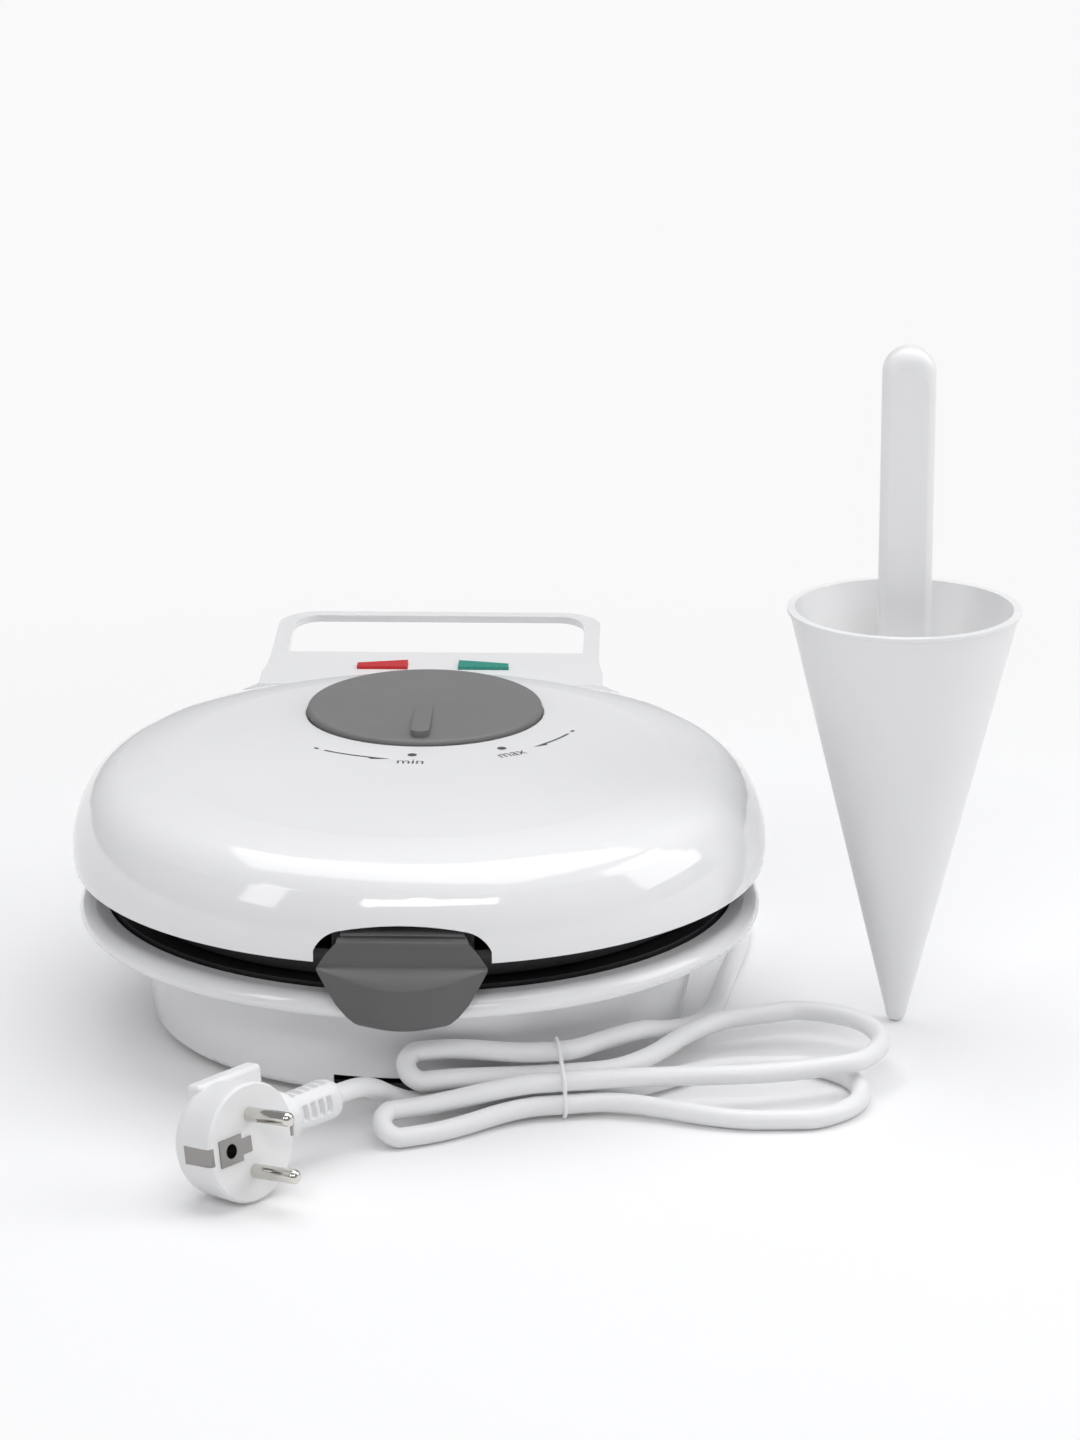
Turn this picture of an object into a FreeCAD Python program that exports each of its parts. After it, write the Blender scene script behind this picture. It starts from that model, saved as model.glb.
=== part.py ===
import FreeCAD
import Part
import Sketcher
import math
import os
from FreeCAD import Placement, Rotation, Vector

# Waffle cone maker with its rolling form. X runs to the right, Y to the rear and Z up,
# with the floor at Z = 0 and the axis of the round body at X = Y = 0. Millimetres.

doc = FreeCAD.newDocument("coneMaker")
sheet = doc.addObject("Spreadsheet::Sheet", "sizes")

sizeTable = [
    # lid
    ("lidRadius", "121.5"),
    ("edgeBend", "24"),
    ("skirtTurn", "23"),
    ("lidEdge", "59"),
    ("lidBelt", "64"),
    ("lidWall", "2.8"),
    ("lidTilt", "1.5"),
    ("sideBend", "38"),
    ("sideTurn", "32"),
    ("shoulderBend", "18"),
    ("shoulderTurn", "74"),
    ("brimBend", "80"),
    ("brimTurn", "87"),
    ("ribDepth", "6.7"),
    ("ribThick", "2.5"),
    ("notchWidth", "59"),
    ("notchTopWidth", "43"),
    ("notchTop", "72"),
    ("notchShoulder", "63"),
    # carrying loop, heights counted from the belt plane of the lid
    ("loopWidth", "122"),
    ("loopEnd", "174"),
    ("loopRoot", "84"),
    ("loopTop", "29.6"),
    ("loopThick", "5"),
    ("loopCorner", "16"),
    ("loopSide", "6"),
    ("loopOpenFront", "122.6"),
    ("loopBar", "9.5"),
    ("openCorner", "10"),
    ("flareWidth", "13"),
    ("flareFront", "98"),
    ("flareBack", "124"),
    # lamps
    ("bayWidth", "84"),
    ("bayFront", "94"),
    ("bayBack", "114"),
    ("bayFoot", "8"),
    ("bayWall", "2.6"),
    ("lensInset", "9.4"),
    ("lensLength", "18.5"),
    ("lensFront", "101.5"),
    ("lensDeep", "8.4"),
    ("lensShort", "4.6"),
    ("lensProud", "1.1"),
    ("lensFlange", "1.5"),
    ("lensGap", "0.1"),
    ("lampRadius", "3"),
    ("lampLength", "9"),
    # dial and thermostat
    ("dialY", "44"),
    ("dialRadius", "42"),
    ("dialGap", "0.7"),
    ("dialFloor", "29.5"),
    ("dialLift", "0.5"),
    ("dialTop", "35"),
    ("dialRound", "1.4"),
    ("pointerWidth", "6.4"),
    ("pointerTip", "38.5"),
    ("pointerTail", "1"),
    ("pointerRise", "3"),
    ("bossRim", "3.4"),
    ("bossThick", "3"),
    ("shaftRadius", "3"),
    ("shaftFit", "0.05"),
    ("shaftDepth", "10"),
    ("thermoWidth", "34"),
    ("thermoDepth", "28"),
    ("thermoHeight", "15"),
    # hinge
    ("hingeY", "126"),
    ("hingeZ", "56"),
    ("pinRadius", "2.5"),
    ("pinFit", "0.05"),
    ("barrelRadius", "6.5"),
    ("barrelLength", "59.2"),
    ("earWidth", "8"),
    ("earGap", "0.4"),
    # latch
    ("latchWidth", "56.6"),
    ("latchTopWidth", "43"),
    ("latchTop", "68.4"),
    ("latchShoulder", "66"),
    ("latchCrease", "58.5"),
    ("latchBottom", "37"),
    ("latchFootWidth", "30"),
    ("latchBack", "120.1"),
    ("latchFace", "122.8"),
    ("latchNose", "128.8"),
    ("latchFootNose", "125"),
    ("latchDrop", "5.5"),
    ("latchSkin", "4.4"),
    ("latchCorner", "5"),
    ("latchPivotY", "113"),
    ("latchPivotZ", "66.3"),
    ("latchPinRadius", "1.5"),
    ("hubRadius", "3.6"),
    ("hubLength", "41"),
    ("bracketWidth", "47"),
    ("bracketWall", "2.6"),
    ("bracketBack", "104"),
    ("bracketTop", "71"),
    ("springRadius", "2.3"),
    ("springLength", "8"),
    # plates
    ("upperPlateRadius", "102"),
    ("upperPlateFace", "48"),
    ("plateThick", "4.2"),
    ("upperFlangeGap", "4.1"),
    ("upperFlangeThick", "3"),
    ("lowerPlateRadius", "109"),
    ("lowerPlateFace", "47.5"),
    ("plateSkirt", "4.6"),
    ("plateGap", "0.8"),
    ("gridRadius", "92"),
    ("gridPitch", "15"),
    ("grooveWidth", "3"),
    ("grooveDepth", "1.2"),
    ("elementRadius", "72"),
    ("elementWidth", "8"),
    ("elementHeight", "6.5"),
    ("elementSweep", "320"),
    ("reflectorRadius", "90"),
    ("reflectorHeight", "10.5"),
    ("sheetThick", "0.8"),
    # base
    ("baseBottom", "3"),
    ("drumFoot", "94"),
    ("drumTop", "98.5"),
    ("footBend", "2.2"),
    ("neckBend", "2.2"),
    ("baseWall", "3"),
    ("flangeUnder", "37.6"),
    ("lipUnder", "38.8"),
    ("lipUnderRadius", "117.4"),
    ("lipRadius", "119.5"),
    ("lipWaist", "42"),
    ("lipTop", "46.2"),
    ("lipCrown", "114.6"),
    ("ledge", "41"),
    ("ledgeRadius", "104"),
    ("skirtNotch", "50"),
    ("skirtNotchTop", "9.5"),
    ("coverRadius", "90.2"),
    ("coverGap", "0.3"),
    ("coverThick", "2.5"),
    ("coverSink", "0.5"),
    ("seatWidth", "3.5"),
    ("seatThick", "2"),
    ("footCircle", "76"),
    ("footRadius", "8"),
    ("footStem", "3"),
    ("screwCircle", "84"),
    ("screwRadius", "1.5"),
    ("screwHead", "3"),
    ("screwHeadThick", "1.2"),
    ("screwDepth", "8"),
    ("screwBoss", "5"),
    ("ventCircle", "50"),
    ("ventLength", "24"),
    ("ventWidth", "4"),
    ("terminalWidth", "32"),
    ("terminalDepth", "14"),
    ("terminalHeight", "12"),
    ("terminalY", "60"),
    ("fuseLength", "18"),
    ("fuseWidth", "8"),
    ("fuseHeight", "5"),
    ("glandTurn", "62"),
    ("glandZ", "14"),
    ("glandRadius", "6"),
    ("glandEnd", "118"),
    ("glandTip", "4.6"),
    # cord and plug
    ("cordWidth", "6.8"),
    ("plugX", "-45"),
    ("plugY", "-182"),
    ("plugTurn", "-39"),
    ("plugLean", "8"),
    ("plugRadius", "19.6"),
    ("plugSide", "14"),
    ("plugRear", "18.6"),
    ("plugBack", "11"),
    ("plugDepth", "21"),
    ("pinSpacing", "19"),
    ("plugPinRadius", "2.4"),
    ("plugPinLength", "19"),
    ("plugPinRoot", "6"),
    ("plugPinShank", "1.9"),
    ("pinTip", "1.9"),
    ("neckRadius", "8.5"),
    ("neckEnd", "26"),
    ("neckBack", "11.5"),
    ("earthWidth", "6"),
    ("earthSink", "2.2"),
    ("earthDeep", "12"),
    ("earthThick", "1.4"),
    ("socketOffset", "10"),
    ("socketRadius", "2.5"),
    ("socketDepth", "9"),
    ("reliefLength", "24"),
    ("reliefRoot", "6.6"),
    ("reliefTip", "4.7"),
    ("reliefRibs", "6"),
    ("reliefStep", "0.9"),
    ("tieWidth", "1.4"),
    ("tieGap", "0.1"),
    # rolling form
    ("formX", "168"),
    ("formY", "-7"),
    ("formRim", "39.5"),
    ("formHeight", "151"),
    ("formTip", "3.6"),
    ("formWall", "1.8"),
    ("formFloor", "44"),
    ("rimBead", "0.9"),
    ("handleWidth", "18.3"),
    ("handleDepth", "13"),
    ("handleTop", "243"),
    ("handleRound", "4.5"),
]


class Size:
    # a number together with the sheet expression that gives it
    def __init__(self, value, text):
        self.value = float(value)
        self.text = text

    def __add__(self, other):
        return Size(self.value + num(other), "(%s + %s)" % (self.text, txt(other)))

    def __radd__(self, other):
        return Size(num(other) + self.value, "(%s + %s)" % (txt(other), self.text))

    def __sub__(self, other):
        return Size(self.value - num(other), "(%s - %s)" % (self.text, txt(other)))

    def __rsub__(self, other):
        return Size(num(other) - self.value, "(%s - %s)" % (txt(other), self.text))

    def __mul__(self, other):
        return Size(self.value * num(other), "(%s * %s)" % (self.text, txt(other)))

    def __rmul__(self, other):
        return self * other

    def __truediv__(self, other):
        return Size(self.value / num(other), "(%s / %s)" % (self.text, txt(other)))

    def __neg__(self):
        return Size(-self.value, "(0 - %s)" % self.text)


def num(v):
    return v.value if isinstance(v, Size) else float(v)


def txt(v):
    return v.text if isinstance(v, Size) else repr(float(v))


def cosine(v):
    return Size(math.cos(math.radians(num(v))), "cos(%s)" % txt(v))


def sine(v):
    return Size(math.sin(math.radians(num(v))), "sin(%s)" % txt(v))


class Sizes:
    pass


s = Sizes()
for row, (alias, number) in enumerate(sizeTable, 1):
    sheet.set("A%d" % row, alias)
    sheet.set("B%d" % row, number)
    sheet.setAlias("B%d" % row, alias)
doc.recompute()
for alias, number in sizeTable:
    setattr(s, alias, Size(sheet.get(alias), "sizes." + alias))

nodes = []


def bind(obj, prop, v):
    # sets a property from a size and keeps the two tied
    if isinstance(v, Size):
        obj.setExpression(prop, v.text)


def place(obj, x=0, y=0, z=0, axis=None, angle=0):
    rot = Rotation(axis, num(angle)) if axis else Rotation()
    obj.Placement = Placement(Vector(num(x), num(y), num(z)), rot)
    for letter, v in (("x", x), ("y", y), ("z", z)):
        bind(obj, "Placement.Base." + letter, v)
    if axis:
        bind(obj, "Placement.Rotation.Angle", angle)


def newBody(name):
    body = doc.addObject("PartDesign::Body", name)
    body.Label = name
    nodes.append(body)
    return body


def newSketch(body, role, x=0, y=0, z=0, tilt=0, turn=None):
    sk = body.newObject("Sketcher::SketchObject", body.Name + "Sketch")
    plane = [o for o in body.Origin.OriginFeatures if o.Role == role][0]
    sk.AttachmentSupport = (plane, [""])
    sk.MapMode = "FlatFace"
    rot = Rotation(Vector(1, 0, 0), num(tilt))
    if turn is not None:
        rot = Rotation(Vector(0, 1, 0), num(turn))
    sk.AttachmentOffset = Placement(Vector(num(x), num(y), num(z)), rot)
    for letter, v in (("x", x), ("y", y), ("z", z)):
        bind(sk, "AttachmentOffset.Base." + letter, v)
    if tilt or turn is not None:
        bind(sk, "AttachmentOffset.Rotation.Angle", turn if tilt == 0 else tilt)
    return sk


def crownSketch(body, height):
    # a sketch square to the tilted axis of the crown, at a height above the belt
    return newSketch(body, "XY_Plane", 0, -height * sine(s.lidTilt),
                     s.lidBelt + height * cosine(s.lidTilt), s.lidTilt)


def holdPoint(sk, geo, pos, x, y):
    for kind, axis, v in (("DistanceX", -2, x), ("DistanceY", -1, y)):
        if not isinstance(v, Size) and abs(v) < 1e-12:
            sk.addConstraint(Sketcher.Constraint("PointOnObject", geo, pos, axis))
            continue
        k = sk.addConstraint(Sketcher.Constraint(kind, -1, 1, geo, pos, num(v)))
        bind(sk, "Constraints[%d]" % k, v)


def outline(sk, points):
    # points are (x, y) or (x, y, radius, side): the edge that leaves such a point is an arc
    # whose centre lies on its left or right
    first = sk.GeometryCount
    ends = []
    n = len(points)
    for i in range(n):
        a = Vector(num(points[i][0]), num(points[i][1]), 0)
        b = Vector(num(points[(i + 1) % n][0]), num(points[(i + 1) % n][1]), 0)
        if len(points[i]) == 2:
            sk.addGeometry(Part.LineSegment(a, b), False)
            ends.append((1, 2))
            continue
        r = num(points[i][2])
        chord = b - a
        left = Vector(-chord.y, chord.x, 0).normalize()
        rise = math.sqrt(max(r * r - chord.Length ** 2 / 4, 0))
        side = 1 if points[i][3] == "left" else -1
        centre = (a + b) * 0.5 + left * (rise * side)
        start, stop = (a, b) if side > 0 else (b, a)
        t0 = math.atan2(start.y - centre.y, start.x - centre.x)
        t1 = math.atan2(stop.y - centre.y, stop.x - centre.x)
        if t1 <= t0:
            t1 += 2 * math.pi
        circle = Part.Circle(centre, Vector(0, 0, 1), r)
        sk.addGeometry(Part.ArcOfCircle(circle, t0, t1), False)
        ends.append((1, 2) if side > 0 else (2, 1))
    for i in range(n):
        j = (i + 1) % n
        sk.addConstraint(Sketcher.Constraint("Coincident", first + i, ends[i][1], first + j, ends[j][0]))
    for i in range(n):
        holdPoint(sk, first + i, ends[i][0], points[i][0], points[i][1])
        if len(points[i]) > 2:
            k = sk.addConstraint(Sketcher.Constraint("Radius", first + i, num(points[i][2])))
            bind(sk, "Constraints[%d]" % k, points[i][2])
    return sk


def disc(sk, x, y, r):
    g = sk.addGeometry(Part.Circle(Vector(num(x), num(y), 0), Vector(0, 0, 1), num(r)), False)
    k = sk.addConstraint(Sketcher.Constraint("Radius", g, num(r)))
    bind(sk, "Constraints[%d]" % k, r)
    holdPoint(sk, g, 3, x, y)
    return sk


def box(sk, x0, y0, x1, y1):
    return outline(sk, [(x0, y0), (x1, y0), (x1, y1), (x0, y1)])


def feature(body, kind, sk, **settings):
    f = body.newObject("PartDesign::" + kind, body.Name + kind)
    f.Profile = sk
    for prop, v in settings.items():
        if isinstance(v, Size):
            setattr(f, prop, v.value)
            bind(f, prop, v)
        else:
            setattr(f, prop, v)
    body.Tip = f
    return f


def pad(body, sk, length, **more):
    return feature(body, "Pad", sk, Length=length, **more)


def cut(body, sk, length, **more):
    # a pocket that has to take material away
    doc.recompute()
    before = body.Shape.Volume
    f = feature(body, "Pocket", sk, Length=length, **more)
    doc.recompute()
    if not body.Shape.Volume < before - 1e-3:
        raise RuntimeError("a pocket of %s cuts nothing" % body.Label)
    return f


def spin(body, sk, angle=360):
    f = feature(body, "Revolution", sk, Angle=angle)
    f.ReferenceAxis = (sk, ["V_Axis"])
    return f


def around(body, features, count):
    f = body.newObject("PartDesign::PolarPattern", body.Name + "Pattern")
    f.Originals = features
    axis = [o for o in body.Origin.OriginFeatures if o.Role == "Z_Axis"][0]
    f.Axis = (axis, [""])
    f.Angle = 360
    f.Occurrences = count
    body.Tip = f
    return f


def mirror(body, features):
    f = body.newObject("PartDesign::Mirrored", body.Name + "Mirror")
    f.Originals = features
    plane = [o for o in body.Origin.OriginFeatures if o.Role == "YZ_Plane"][0]
    f.MirrorPlane = (plane, [""])
    body.Tip = f
    return f


def roundEdges(body, radius, wanted, kind="Fillet"):
    # rounds the edges of the body so far for which wanted(edge) holds
    doc.recompute()
    base = body.Tip
    names = ["Edge%d" % (i + 1) for i, e in enumerate(base.Shape.Edges) if wanted(e)]
    if not names:
        raise RuntimeError("no edge to round on " + body.Label)
    f = body.newObject("PartDesign::" + kind, body.Name + kind)
    f.Base = (base, names)
    prop = "Radius" if kind == "Fillet" else "Size"
    setattr(f, prop, num(radius))
    bind(f, prop, radius)
    body.Tip = f
    return f


def shaped(name, shape):
    # a sub-part whose shape is worked out below from the sheet's sizes
    obj = doc.addObject("Part::Feature", name)
    obj.Label = name
    obj.Shape = shape
    nodes.append(obj)
    return obj


# Lid cover: a shell turned about an axis that leans a little to the front, cut level at its edge
lid = newBody("lid_cover")
beltInner = s.lidRadius - s.lidWall
ribRadius = beltInner - s.ribDepth
plateSeat = s.lidBelt - s.ribThick
skirtRadius = s.lidRadius - s.edgeBend + s.edgeBend * cosine(s.skirtTurn)
skirtFoot = -s.edgeBend * sine(s.skirtTurn)


def crownArcs(inset):
    # the points where the bends of the crown meet, seen from the belt plane
    bends = (s.sideBend, s.shoulderBend, s.brimBend)
    turns = (s.sideTurn, s.shoulderTurn, s.brimTurn)
    x = s.lidRadius - s.sideBend
    y = Size(0, "0")
    points = [(s.lidRadius - inset, 0)]
    radii = []
    for i in range(3):
        if i:
            x = x + (bends[i - 1] - bends[i]) * cosine(turns[i - 1])
            y = y + (bends[i - 1] - bends[i]) * sine(turns[i - 1])
        points.append((x + (bends[i] - inset) * cosine(turns[i]),
                       y + (bends[i] - inset) * sine(turns[i])))
        radii.append(bends[i] - inset)
    rx = points[-1][0] + inset * cosine(s.brimTurn)
    domeRadius = rx / cosine(s.brimTurn)
    top = points[-1][1] + inset * sine(s.brimTurn) + domeRadius * (1 - sine(s.brimTurn))
    points.append((0, top - inset))
    radii.append(domeRadius - inset)
    return points, radii


outerPoints, outerRadii = crownArcs(0)
innerPoints, innerRadii = crownArcs(s.lidWall)
crownOutline = [(skirtRadius - s.lidWall, skirtFoot), (skirtRadius, skirtFoot, s.edgeBend, "left")]
for i in range(4):
    crownOutline.append(outerPoints[i] + (outerRadii[i], "left"))
crownOutline.append(outerPoints[4])
for i in range(4, 0, -1):
    crownOutline.append(innerPoints[i] + (innerRadii[i - 1], "right"))
crownOutline.append(innerPoints[0])
spin(lid, outline(newSketch(lid, "XZ_Plane", 0, s.lidBelt, 0, s.lidTilt), crownOutline))
trim = newSketch(lid, "XY_Plane", 0, 0, s.lidEdge)
disc(trim, 0, 0, s.lidRadius + 10)
cut(lid, trim, 30)
# level rib that the upper plate is drawn up against
rib = newSketch(lid, "XY_Plane", 0, 0, plateSeat)
disc(rib, 0, 0, beltInner + s.lidWall / 3)
disc(rib, 0, 0, ribRadius)
pad(lid, rib, s.ribThick)

# flat root and carrying loop at the rear
halfLoop = s.loopWidth / 2
halfOpen = halfLoop - s.loopSide
loopBack = s.loopEnd - s.loopBar
halfFlare = halfLoop + s.flareWidth
flareRun = s.flareBack - s.flareFront
flareBend = (flareRun * flareRun + s.flareWidth * s.flareWidth) / (2 * s.flareWidth)
slab = crownSketch(lid, s.loopTop - s.loopThick)
outline(slab, [
    (-halfFlare, s.loopRoot),
    (halfFlare, s.loopRoot),
    (halfFlare, s.flareFront, flareBend, "right"),
    (halfLoop, s.flareBack),
    (halfLoop, s.loopEnd - s.loopCorner, s.loopCorner, "left"),
    (halfLoop - s.loopCorner, s.loopEnd),
    (-halfLoop + s.loopCorner, s.loopEnd, s.loopCorner, "left"),
    (-halfLoop, s.loopEnd - s.loopCorner),
    (-halfLoop, s.flareBack, flareBend, "right"),
    (-halfFlare, s.flareFront)])
outline(slab, [
    (-halfOpen, s.loopOpenFront),
    (halfOpen, s.loopOpenFront),
    (halfOpen, loopBack - s.openCorner, s.openCorner, "left"),
    (halfOpen - s.openCorner, loopBack),
    (-halfOpen + s.openCorner, loopBack, s.openCorner, "left"),
    (-halfOpen, loopBack - s.openCorner)])
pad(lid, slab, s.loopThick)

# housing of the two lamps under the root
bay = crownSketch(lid, s.bayFoot)
box(bay, -s.bayWidth / 2, s.bayFront, s.bayWidth / 2, s.bayBack)
pad(lid, bay, s.loopTop - s.loopThick - s.bayFoot + 0.5)
# round boss that carries the dial and the thermostat
boss = crownSketch(lid, s.dialFloor - s.bossThick)
disc(boss, 0, s.dialY, s.dialRadius + s.dialGap + s.bossRim)
pad(lid, boss, s.bossThick)
# barrel of the hinge
web = newSketch(lid, "YZ_Plane")
webFoot = s.lidRadius - 6
outline(web, [
    (webFoot, s.lidEdge + 1.5),
    (s.hingeY - 2, s.hingeZ - s.barrelRadius + 0.6),
    (s.hingeY + s.barrelRadius - 0.6, s.hingeZ + 2),
    (s.lidRadius + 1.8, s.lidBelt + 5),
    (webFoot, s.lidBelt + 10)])
pad(lid, web, s.barrelLength, SideType="Symmetric")
barrel = newSketch(lid, "YZ_Plane")
disc(barrel, s.hingeY, s.hingeZ, s.barrelRadius)
pad(lid, barrel, s.barrelLength, SideType="Symmetric")
bore = newSketch(lid, "YZ_Plane")
disc(bore, s.hingeY, s.hingeZ, s.pinRadius + s.pinFit)
cut(lid, bore, s.barrelLength + 2, SideType="Symmetric")
# hollow of the lamp housing
hollow = crownSketch(lid, s.bayFoot + 2)
box(hollow, -s.bayWidth / 2 + s.bayWall, s.bayFront - 6, s.bayWidth / 2 - s.bayWall, s.bayBack - s.bayWall)
cut(lid, hollow, s.loopTop - s.bayWall - s.bayFoot - 2, Reversed=True)
# recess and bore for the dial
recess = crownSketch(lid, s.dialFloor)
disc(recess, 0, s.dialY, s.dialRadius + s.dialGap)
cut(lid, recess, 20, Reversed=True)
shaftBore = crownSketch(lid, s.dialFloor)
disc(shaftBore, 0, s.dialY, s.shaftRadius + 0.6)
cut(lid, shaftBore, s.bossThick + 2)


def lensOutline(sk, grow, sign):
    x0 = s.lensInset - grow
    x1 = s.lensInset + s.lensLength + grow
    y0 = s.lensFront - grow
    points = [(x0, y0), (x1, y0), (x1, y0 + s.lensShort + 2 * grow), (x0, y0 + s.lensDeep + 2 * grow)]
    if sign < 0:
        points = [(-x, y) for x, y in reversed(points)]
    return outline(sk, points)


window = crownSketch(lid, s.loopTop - s.bayWall - 1)
lensOutline(window, s.lensGap, 1)
lensOutline(window, s.lensGap, -1)
cut(lid, window, s.bayWall + 3, Reversed=True)
# notch in the front for the latch
notch = newSketch(lid, "XZ_Plane", 0, 0, s.latchPivotY - 12)
halfNotch = s.notchWidth / 2
halfArch = s.notchTopWidth / 2
notchBend = s.notchTopWidth * 2.2
outline(notch, [
    (-halfNotch, s.lidEdge - 5),
    (halfNotch, s.lidEdge - 5),
    (halfNotch, s.notchShoulder, halfNotch - halfArch + 4, "left"),
    (halfArch, s.notchTop - 2, notchBend, "left"),
    (-halfArch, s.notchTop - 2, halfNotch - halfArch + 4, "left"),
    (-halfNotch, s.notchShoulder)])
cut(lid, notch, 40, Reversed=True)


def crownBody(name, y=0, height=0):
    # a body whose own axis is the tilted axis of the crown
    body = newBody(name)
    place(body, 0, y * cosine(s.lidTilt) - height * sine(s.lidTilt),
          s.lidBelt + y * sine(s.lidTilt) + height * cosine(s.lidTilt), Vector(1, 0, 0), s.lidTilt)
    return body


# Lamp lenses, each with a flange under the root, and the lamps under them
bayRoof = s.loopTop - s.bayWall
for name, sign in (("red_lamp_lens", -1), ("green_lamp_lens", 1)):
    lens = crownBody(name)
    pad(lens, lensOutline(newSketch(lens, "XY_Plane", 0, 0, bayRoof - s.lensFlange), s.lensFlange, sign),
        s.lensFlange)
    pad(lens, lensOutline(newSketch(lens, "XY_Plane", 0, 0, bayRoof), 0, sign), s.bayWall + s.lensProud)
for name, sign in (("red_lamp", -1), ("green_lamp", 1)):
    lamp = crownBody(name)
    glow = newSketch(lamp, "XY_Plane", 0, 0, bayRoof - s.lensFlange)
    disc(glow, sign * (s.lensInset + s.lensLength / 2), s.lensFront + s.lensShort / 2, s.lampRadius)
    pad(lamp, glow, s.lampLength, Reversed=True)

# Dial with its raised pointer, and the shaft that it turns
dial = crownBody("dial_knob", s.dialY)
dialFoot = s.dialFloor + s.dialLift
spin(dial, outline(newSketch(dial, "XZ_Plane"), [
    (s.shaftRadius, dialFoot),
    (s.dialRadius, dialFoot),
    (s.dialRadius, s.dialTop - s.dialRound, s.dialRound, "left"),
    (s.dialRadius - s.dialRound, s.dialTop),
    (0, s.dialTop),
    (0, s.dialTop - 2),
    (s.shaftRadius, s.dialTop - 2)]))
bar = newSketch(dial, "XY_Plane", 0, 0, s.dialTop - 0.6)
halfBar = s.pointerWidth / 2
outline(bar, [
    (-halfBar, -s.pointerTail),
    (-halfBar, -s.pointerTip + halfBar, halfBar * 1.0001, "left"),
    (halfBar, -s.pointerTip + halfBar),
    (halfBar, -s.pointerTail)])
pad(dial, bar, s.pointerRise + 0.6)
ramp = newSketch(dial, "YZ_Plane")
outline(ramp, [
    (-s.pointerTail + 1, s.dialTop),
    (-s.pointerTail + 1, s.dialTop + s.pointerRise + 5),
    (-s.pointerTip - 5, s.dialTop + s.pointerRise + 5),
    (-s.pointerTip - 5, s.dialTop + s.pointerRise - 0.2)])
cut(dial, ramp, s.pointerWidth + 4, SideType="Symmetric")
shaft = crownBody("thermostat_shaft", s.dialY)
disc(newSketch(shaft, "XY_Plane", 0, 0, s.dialFloor - s.bossThick - s.shaftDepth), 0, 0, s.shaftRadius)
pad(shaft, shaft.Group[-1], s.dialTop - 2 - s.dialFloor + s.bossThick + s.shaftDepth)
thermo = crownBody("thermostat", s.dialY)
thermoTop = s.dialFloor - s.bossThick
case = newSketch(thermo, "XY_Plane", 0, 0, thermoTop)
box(case, -s.thermoWidth / 2, -s.thermoDepth / 2, s.thermoWidth / 2, s.thermoDepth / 2)
pad(thermo, case, s.thermoHeight, Reversed=True)
well = newSketch(thermo, "XY_Plane", 0, 0, thermoTop)
disc(well, 0, 0, s.shaftRadius + s.shaftFit)
cut(thermo, well, s.shaftDepth + 0.5)

# Upper plate: a shallow pan whose flange seats under the rib of the lid
flangeFoot = plateSeat - s.upperFlangeThick
flangeRadius = beltInner - s.upperFlangeGap
plateInner = s.upperPlateFace + s.plateThick
upperRaw = doc.addObject("PartDesign::Body", "upperPan")
spin(upperRaw, outline(newSketch(upperRaw, "XZ_Plane"), [
    (0, s.upperPlateFace),
    (s.upperPlateRadius, s.upperPlateFace),
    (s.upperPlateRadius, flangeFoot),
    (flangeRadius, flangeFoot),
    (flangeRadius, plateSeat),
    (s.upperPlateRadius - s.plateThick, plateSeat),
    (s.upperPlateRadius - s.plateThick, plateInner),
    (0, plateInner)]))
# Lower plate: a disc with a skirt that stands on the ledge of the base
lowerRaw = doc.addObject("PartDesign::Body", "lowerPan")
lowerInner = s.lowerPlateFace - s.plateThick
spin(lowerRaw, outline(newSketch(lowerRaw, "XZ_Plane"), [
    (0, lowerInner),
    (s.lowerPlateRadius - s.plateSkirt, lowerInner),
    (s.lowerPlateRadius - s.plateSkirt, s.ledge),
    (s.lowerPlateRadius, s.ledge),
    (s.lowerPlateRadius, s.lowerPlateFace),
    (0, s.lowerPlateFace)]))


def gridBars(face, depth):
    # crossed baking grooves inside a circle, each as long as its chord
    radius = s.gridRadius.value
    width = s.grooveWidth.value
    pitch = s.gridPitch.value
    count = int((radius - width) / pitch)
    bars = []
    for turn in (45, -45):
        for k in range(-count, count + 1):
            off = k * pitch
            half = math.sqrt(radius ** 2 - (abs(off) + width / 2) ** 2)
            low = face - depth if depth > 0 else face - 1
            bar = Part.makeBox(2 * half, width, abs(depth) + 1, Vector(-half, off - width / 2, low))
            bar.rotate(Vector(0, 0, 0), Vector(0, 0, 1), turn)
            bars.append(bar)
    return bars[0].multiFuse(bars[1:])


def grooved(name, raw, face, depth):
    grid = doc.addObject("Part::Feature", name + "Grid")
    grid.Shape = gridBars(face, depth)
    plate = doc.addObject("Part::Cut", name)
    plate.Label = name
    plate.Base = raw
    plate.Tool = grid
    nodes.append(plate)
    return plate


doc.recompute()
grooved("upper_plate", upperRaw, s.upperPlateFace.value, -s.grooveDepth.value)
grooved("lower_plate", lowerRaw, s.lowerPlateFace.value, s.grooveDepth.value)


def element(name, flat, down):
    # a heating tube with a flat on the side that lies on its plate
    body = newBody(name)
    half = s.elementWidth / 2
    r0 = s.elementRadius - half
    r1 = s.elementRadius + half
    if down:
        low = flat - s.elementHeight
        points = [(r0, flat), (r0, low + half, half * 1.0001, "left"), (r1, low + half), (r1, flat)]
    else:
        high = flat + s.elementHeight
        points = [(r0, flat), (r1, flat), (r1, high - half, half * 1.0001, "left"), (r0, high - half)]
    spin(body, outline(newSketch(body, "XZ_Plane"), points), s.elementSweep)
    place(body, 0, 0, 0, Vector(0, 0, 1), 270 - s.elementSweep / 2 + 180)
    return body


element("upper_heating_element", plateInner, False)
element("lower_heating_element", lowerInner, True)


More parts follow.
